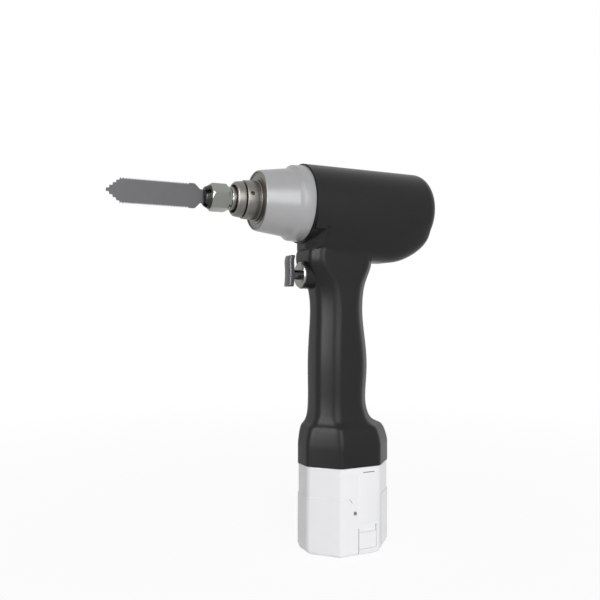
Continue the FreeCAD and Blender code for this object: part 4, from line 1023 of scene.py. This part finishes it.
low = (-LIP_HALF_DEPTH, -LIP_HALF_WIDTH, LIP_FOOT)
high = (LIP_HALF_DEPTH, LIP_HALF_WIDTH, LIP_TOP)
lip = brick("case_lip", low, high)
for offset, segments in ((LIP_CHAMFER, 1), (LIP_ROUNDING, 5)):
    choose(lip, "EDGE", lambda a, b: abs(a.z - b.z) > 0.5)
    bpy.ops.mesh.bevel(offset=offset * MM, segments=segments)
    bpy.ops.object.mode_set(mode="OBJECT")
choose(lip, "FACE", lambda middle, normal: abs(normal.z) > 0.9)
bpy.ops.mesh.delete(type="FACE")
done()
modify(lip, "SOLIDIFY", thickness=LIP_WALL * MM, offset=-1)
soften(lip, 0.25, segments=3, angle=50)
fit(lip, "battery", "white_case", [white.material])

# %% [markdown]
# ## Screws and spring
# The rear cap is held by three socket screws. One is turned with its head, its shank and a six-sided
# socket, and copied to the other two places, each copy with its own mesh.

# %% Cap screws
SCREW_CIRCLE = 17.8
HEAD_SEAT, HEAD_END, SHANK_START = 55.1, 56.4, 48.3
HEAD_RADIUS, SHANK_INSET = 1.8, 0.7
SOCKET_DEPTH, SOCKET_RADIUS = 0.8, 0.95

screw = barrel_rod("cap_screw_0", HEAD_SEAT, HEAD_END, HEAD_RADIUS, vertices=48)
soften(screw, 0.2, segments=3)
cut_by(screw, barrel_rod("screw_socket", HEAD_END - SOCKET_DEPTH, HEAD_END + 1, SOCKET_RADIUS, vertices=6))
choose(screw, "FACE", lambda middle, normal: normal.x < -0.9 and middle.x < HEAD_SEAT + 0.1)
bpy.ops.mesh.inset(thickness=SHANK_INSET * MM)
bpy.ops.mesh.extrude_region_move(TRANSFORM_OT_translate={"value": ((SHANK_START - HEAD_SEAT) * MM, 0, 0)})
done()
screws = [screw]
for number in (1, 2):
    copy = screw.copy()
    copy.data = screw.data.copy()
    copy.name = f"cap_screw_{number}"
    bpy.context.collection.objects.link(copy)
    screws.append(copy)
for number, piece in enumerate(screws):
    angle = math.radians(90 + 120 * number)
    piece.location = Vector((0, math.cos(angle), math.sin(angle))) * SCREW_CIRCLE * MM
    settle(piece)
for piece in screws:
    fit(piece, "handle", "bright_steel", [bright_steel], *(["cap_screws"] if piece is screw else []))

# %% [markdown]
# The trigger's return spring is wound from round wire. A small circle of wire beside the stem and the
# Screw modifier give the coil. It lies between the stem's collar and the board, and the real spring
# flattens towards the board when the trigger is pressed; nothing here makes this coil flatten.

# %% Trigger spring
WIRE, COIL = 0.38, 4.05
SPRING_START, SPRING_END = -17.75, -3.2
COILS = 7
WIRE_SIDES, COIL_STEPS = 10, 28

bpy.ops.object.select_all(action="DESELECT")
bpy.ops.mesh.primitive_circle_add(
    vertices=WIRE_SIDES, radius=WIRE * MM, location=((SPRING_START + WIRE) * MM, 0, COIL * MM)
)
spring = bpy.context.object
spring.rotation_euler.x = math.radians(90)
spring = added("coil_spring")
pitch = (SPRING_END - SPRING_START - WIRE * 2) / COILS
modify(
    spring,
    "SCREW",
    axis="X",
    angle=math.tau,
    screw_offset=pitch * MM,
    iterations=COILS,
    steps=COIL_STEPS,
    render_steps=COIL_STEPS,
    use_merge_vertices=False,
)
spring.location.z = TRIGGER_AXIS * MM
settle(spring)
fit(spring, "handle", "inner_steel", [material_of["inner_steel"]], "trigger_spring")
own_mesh(spring)
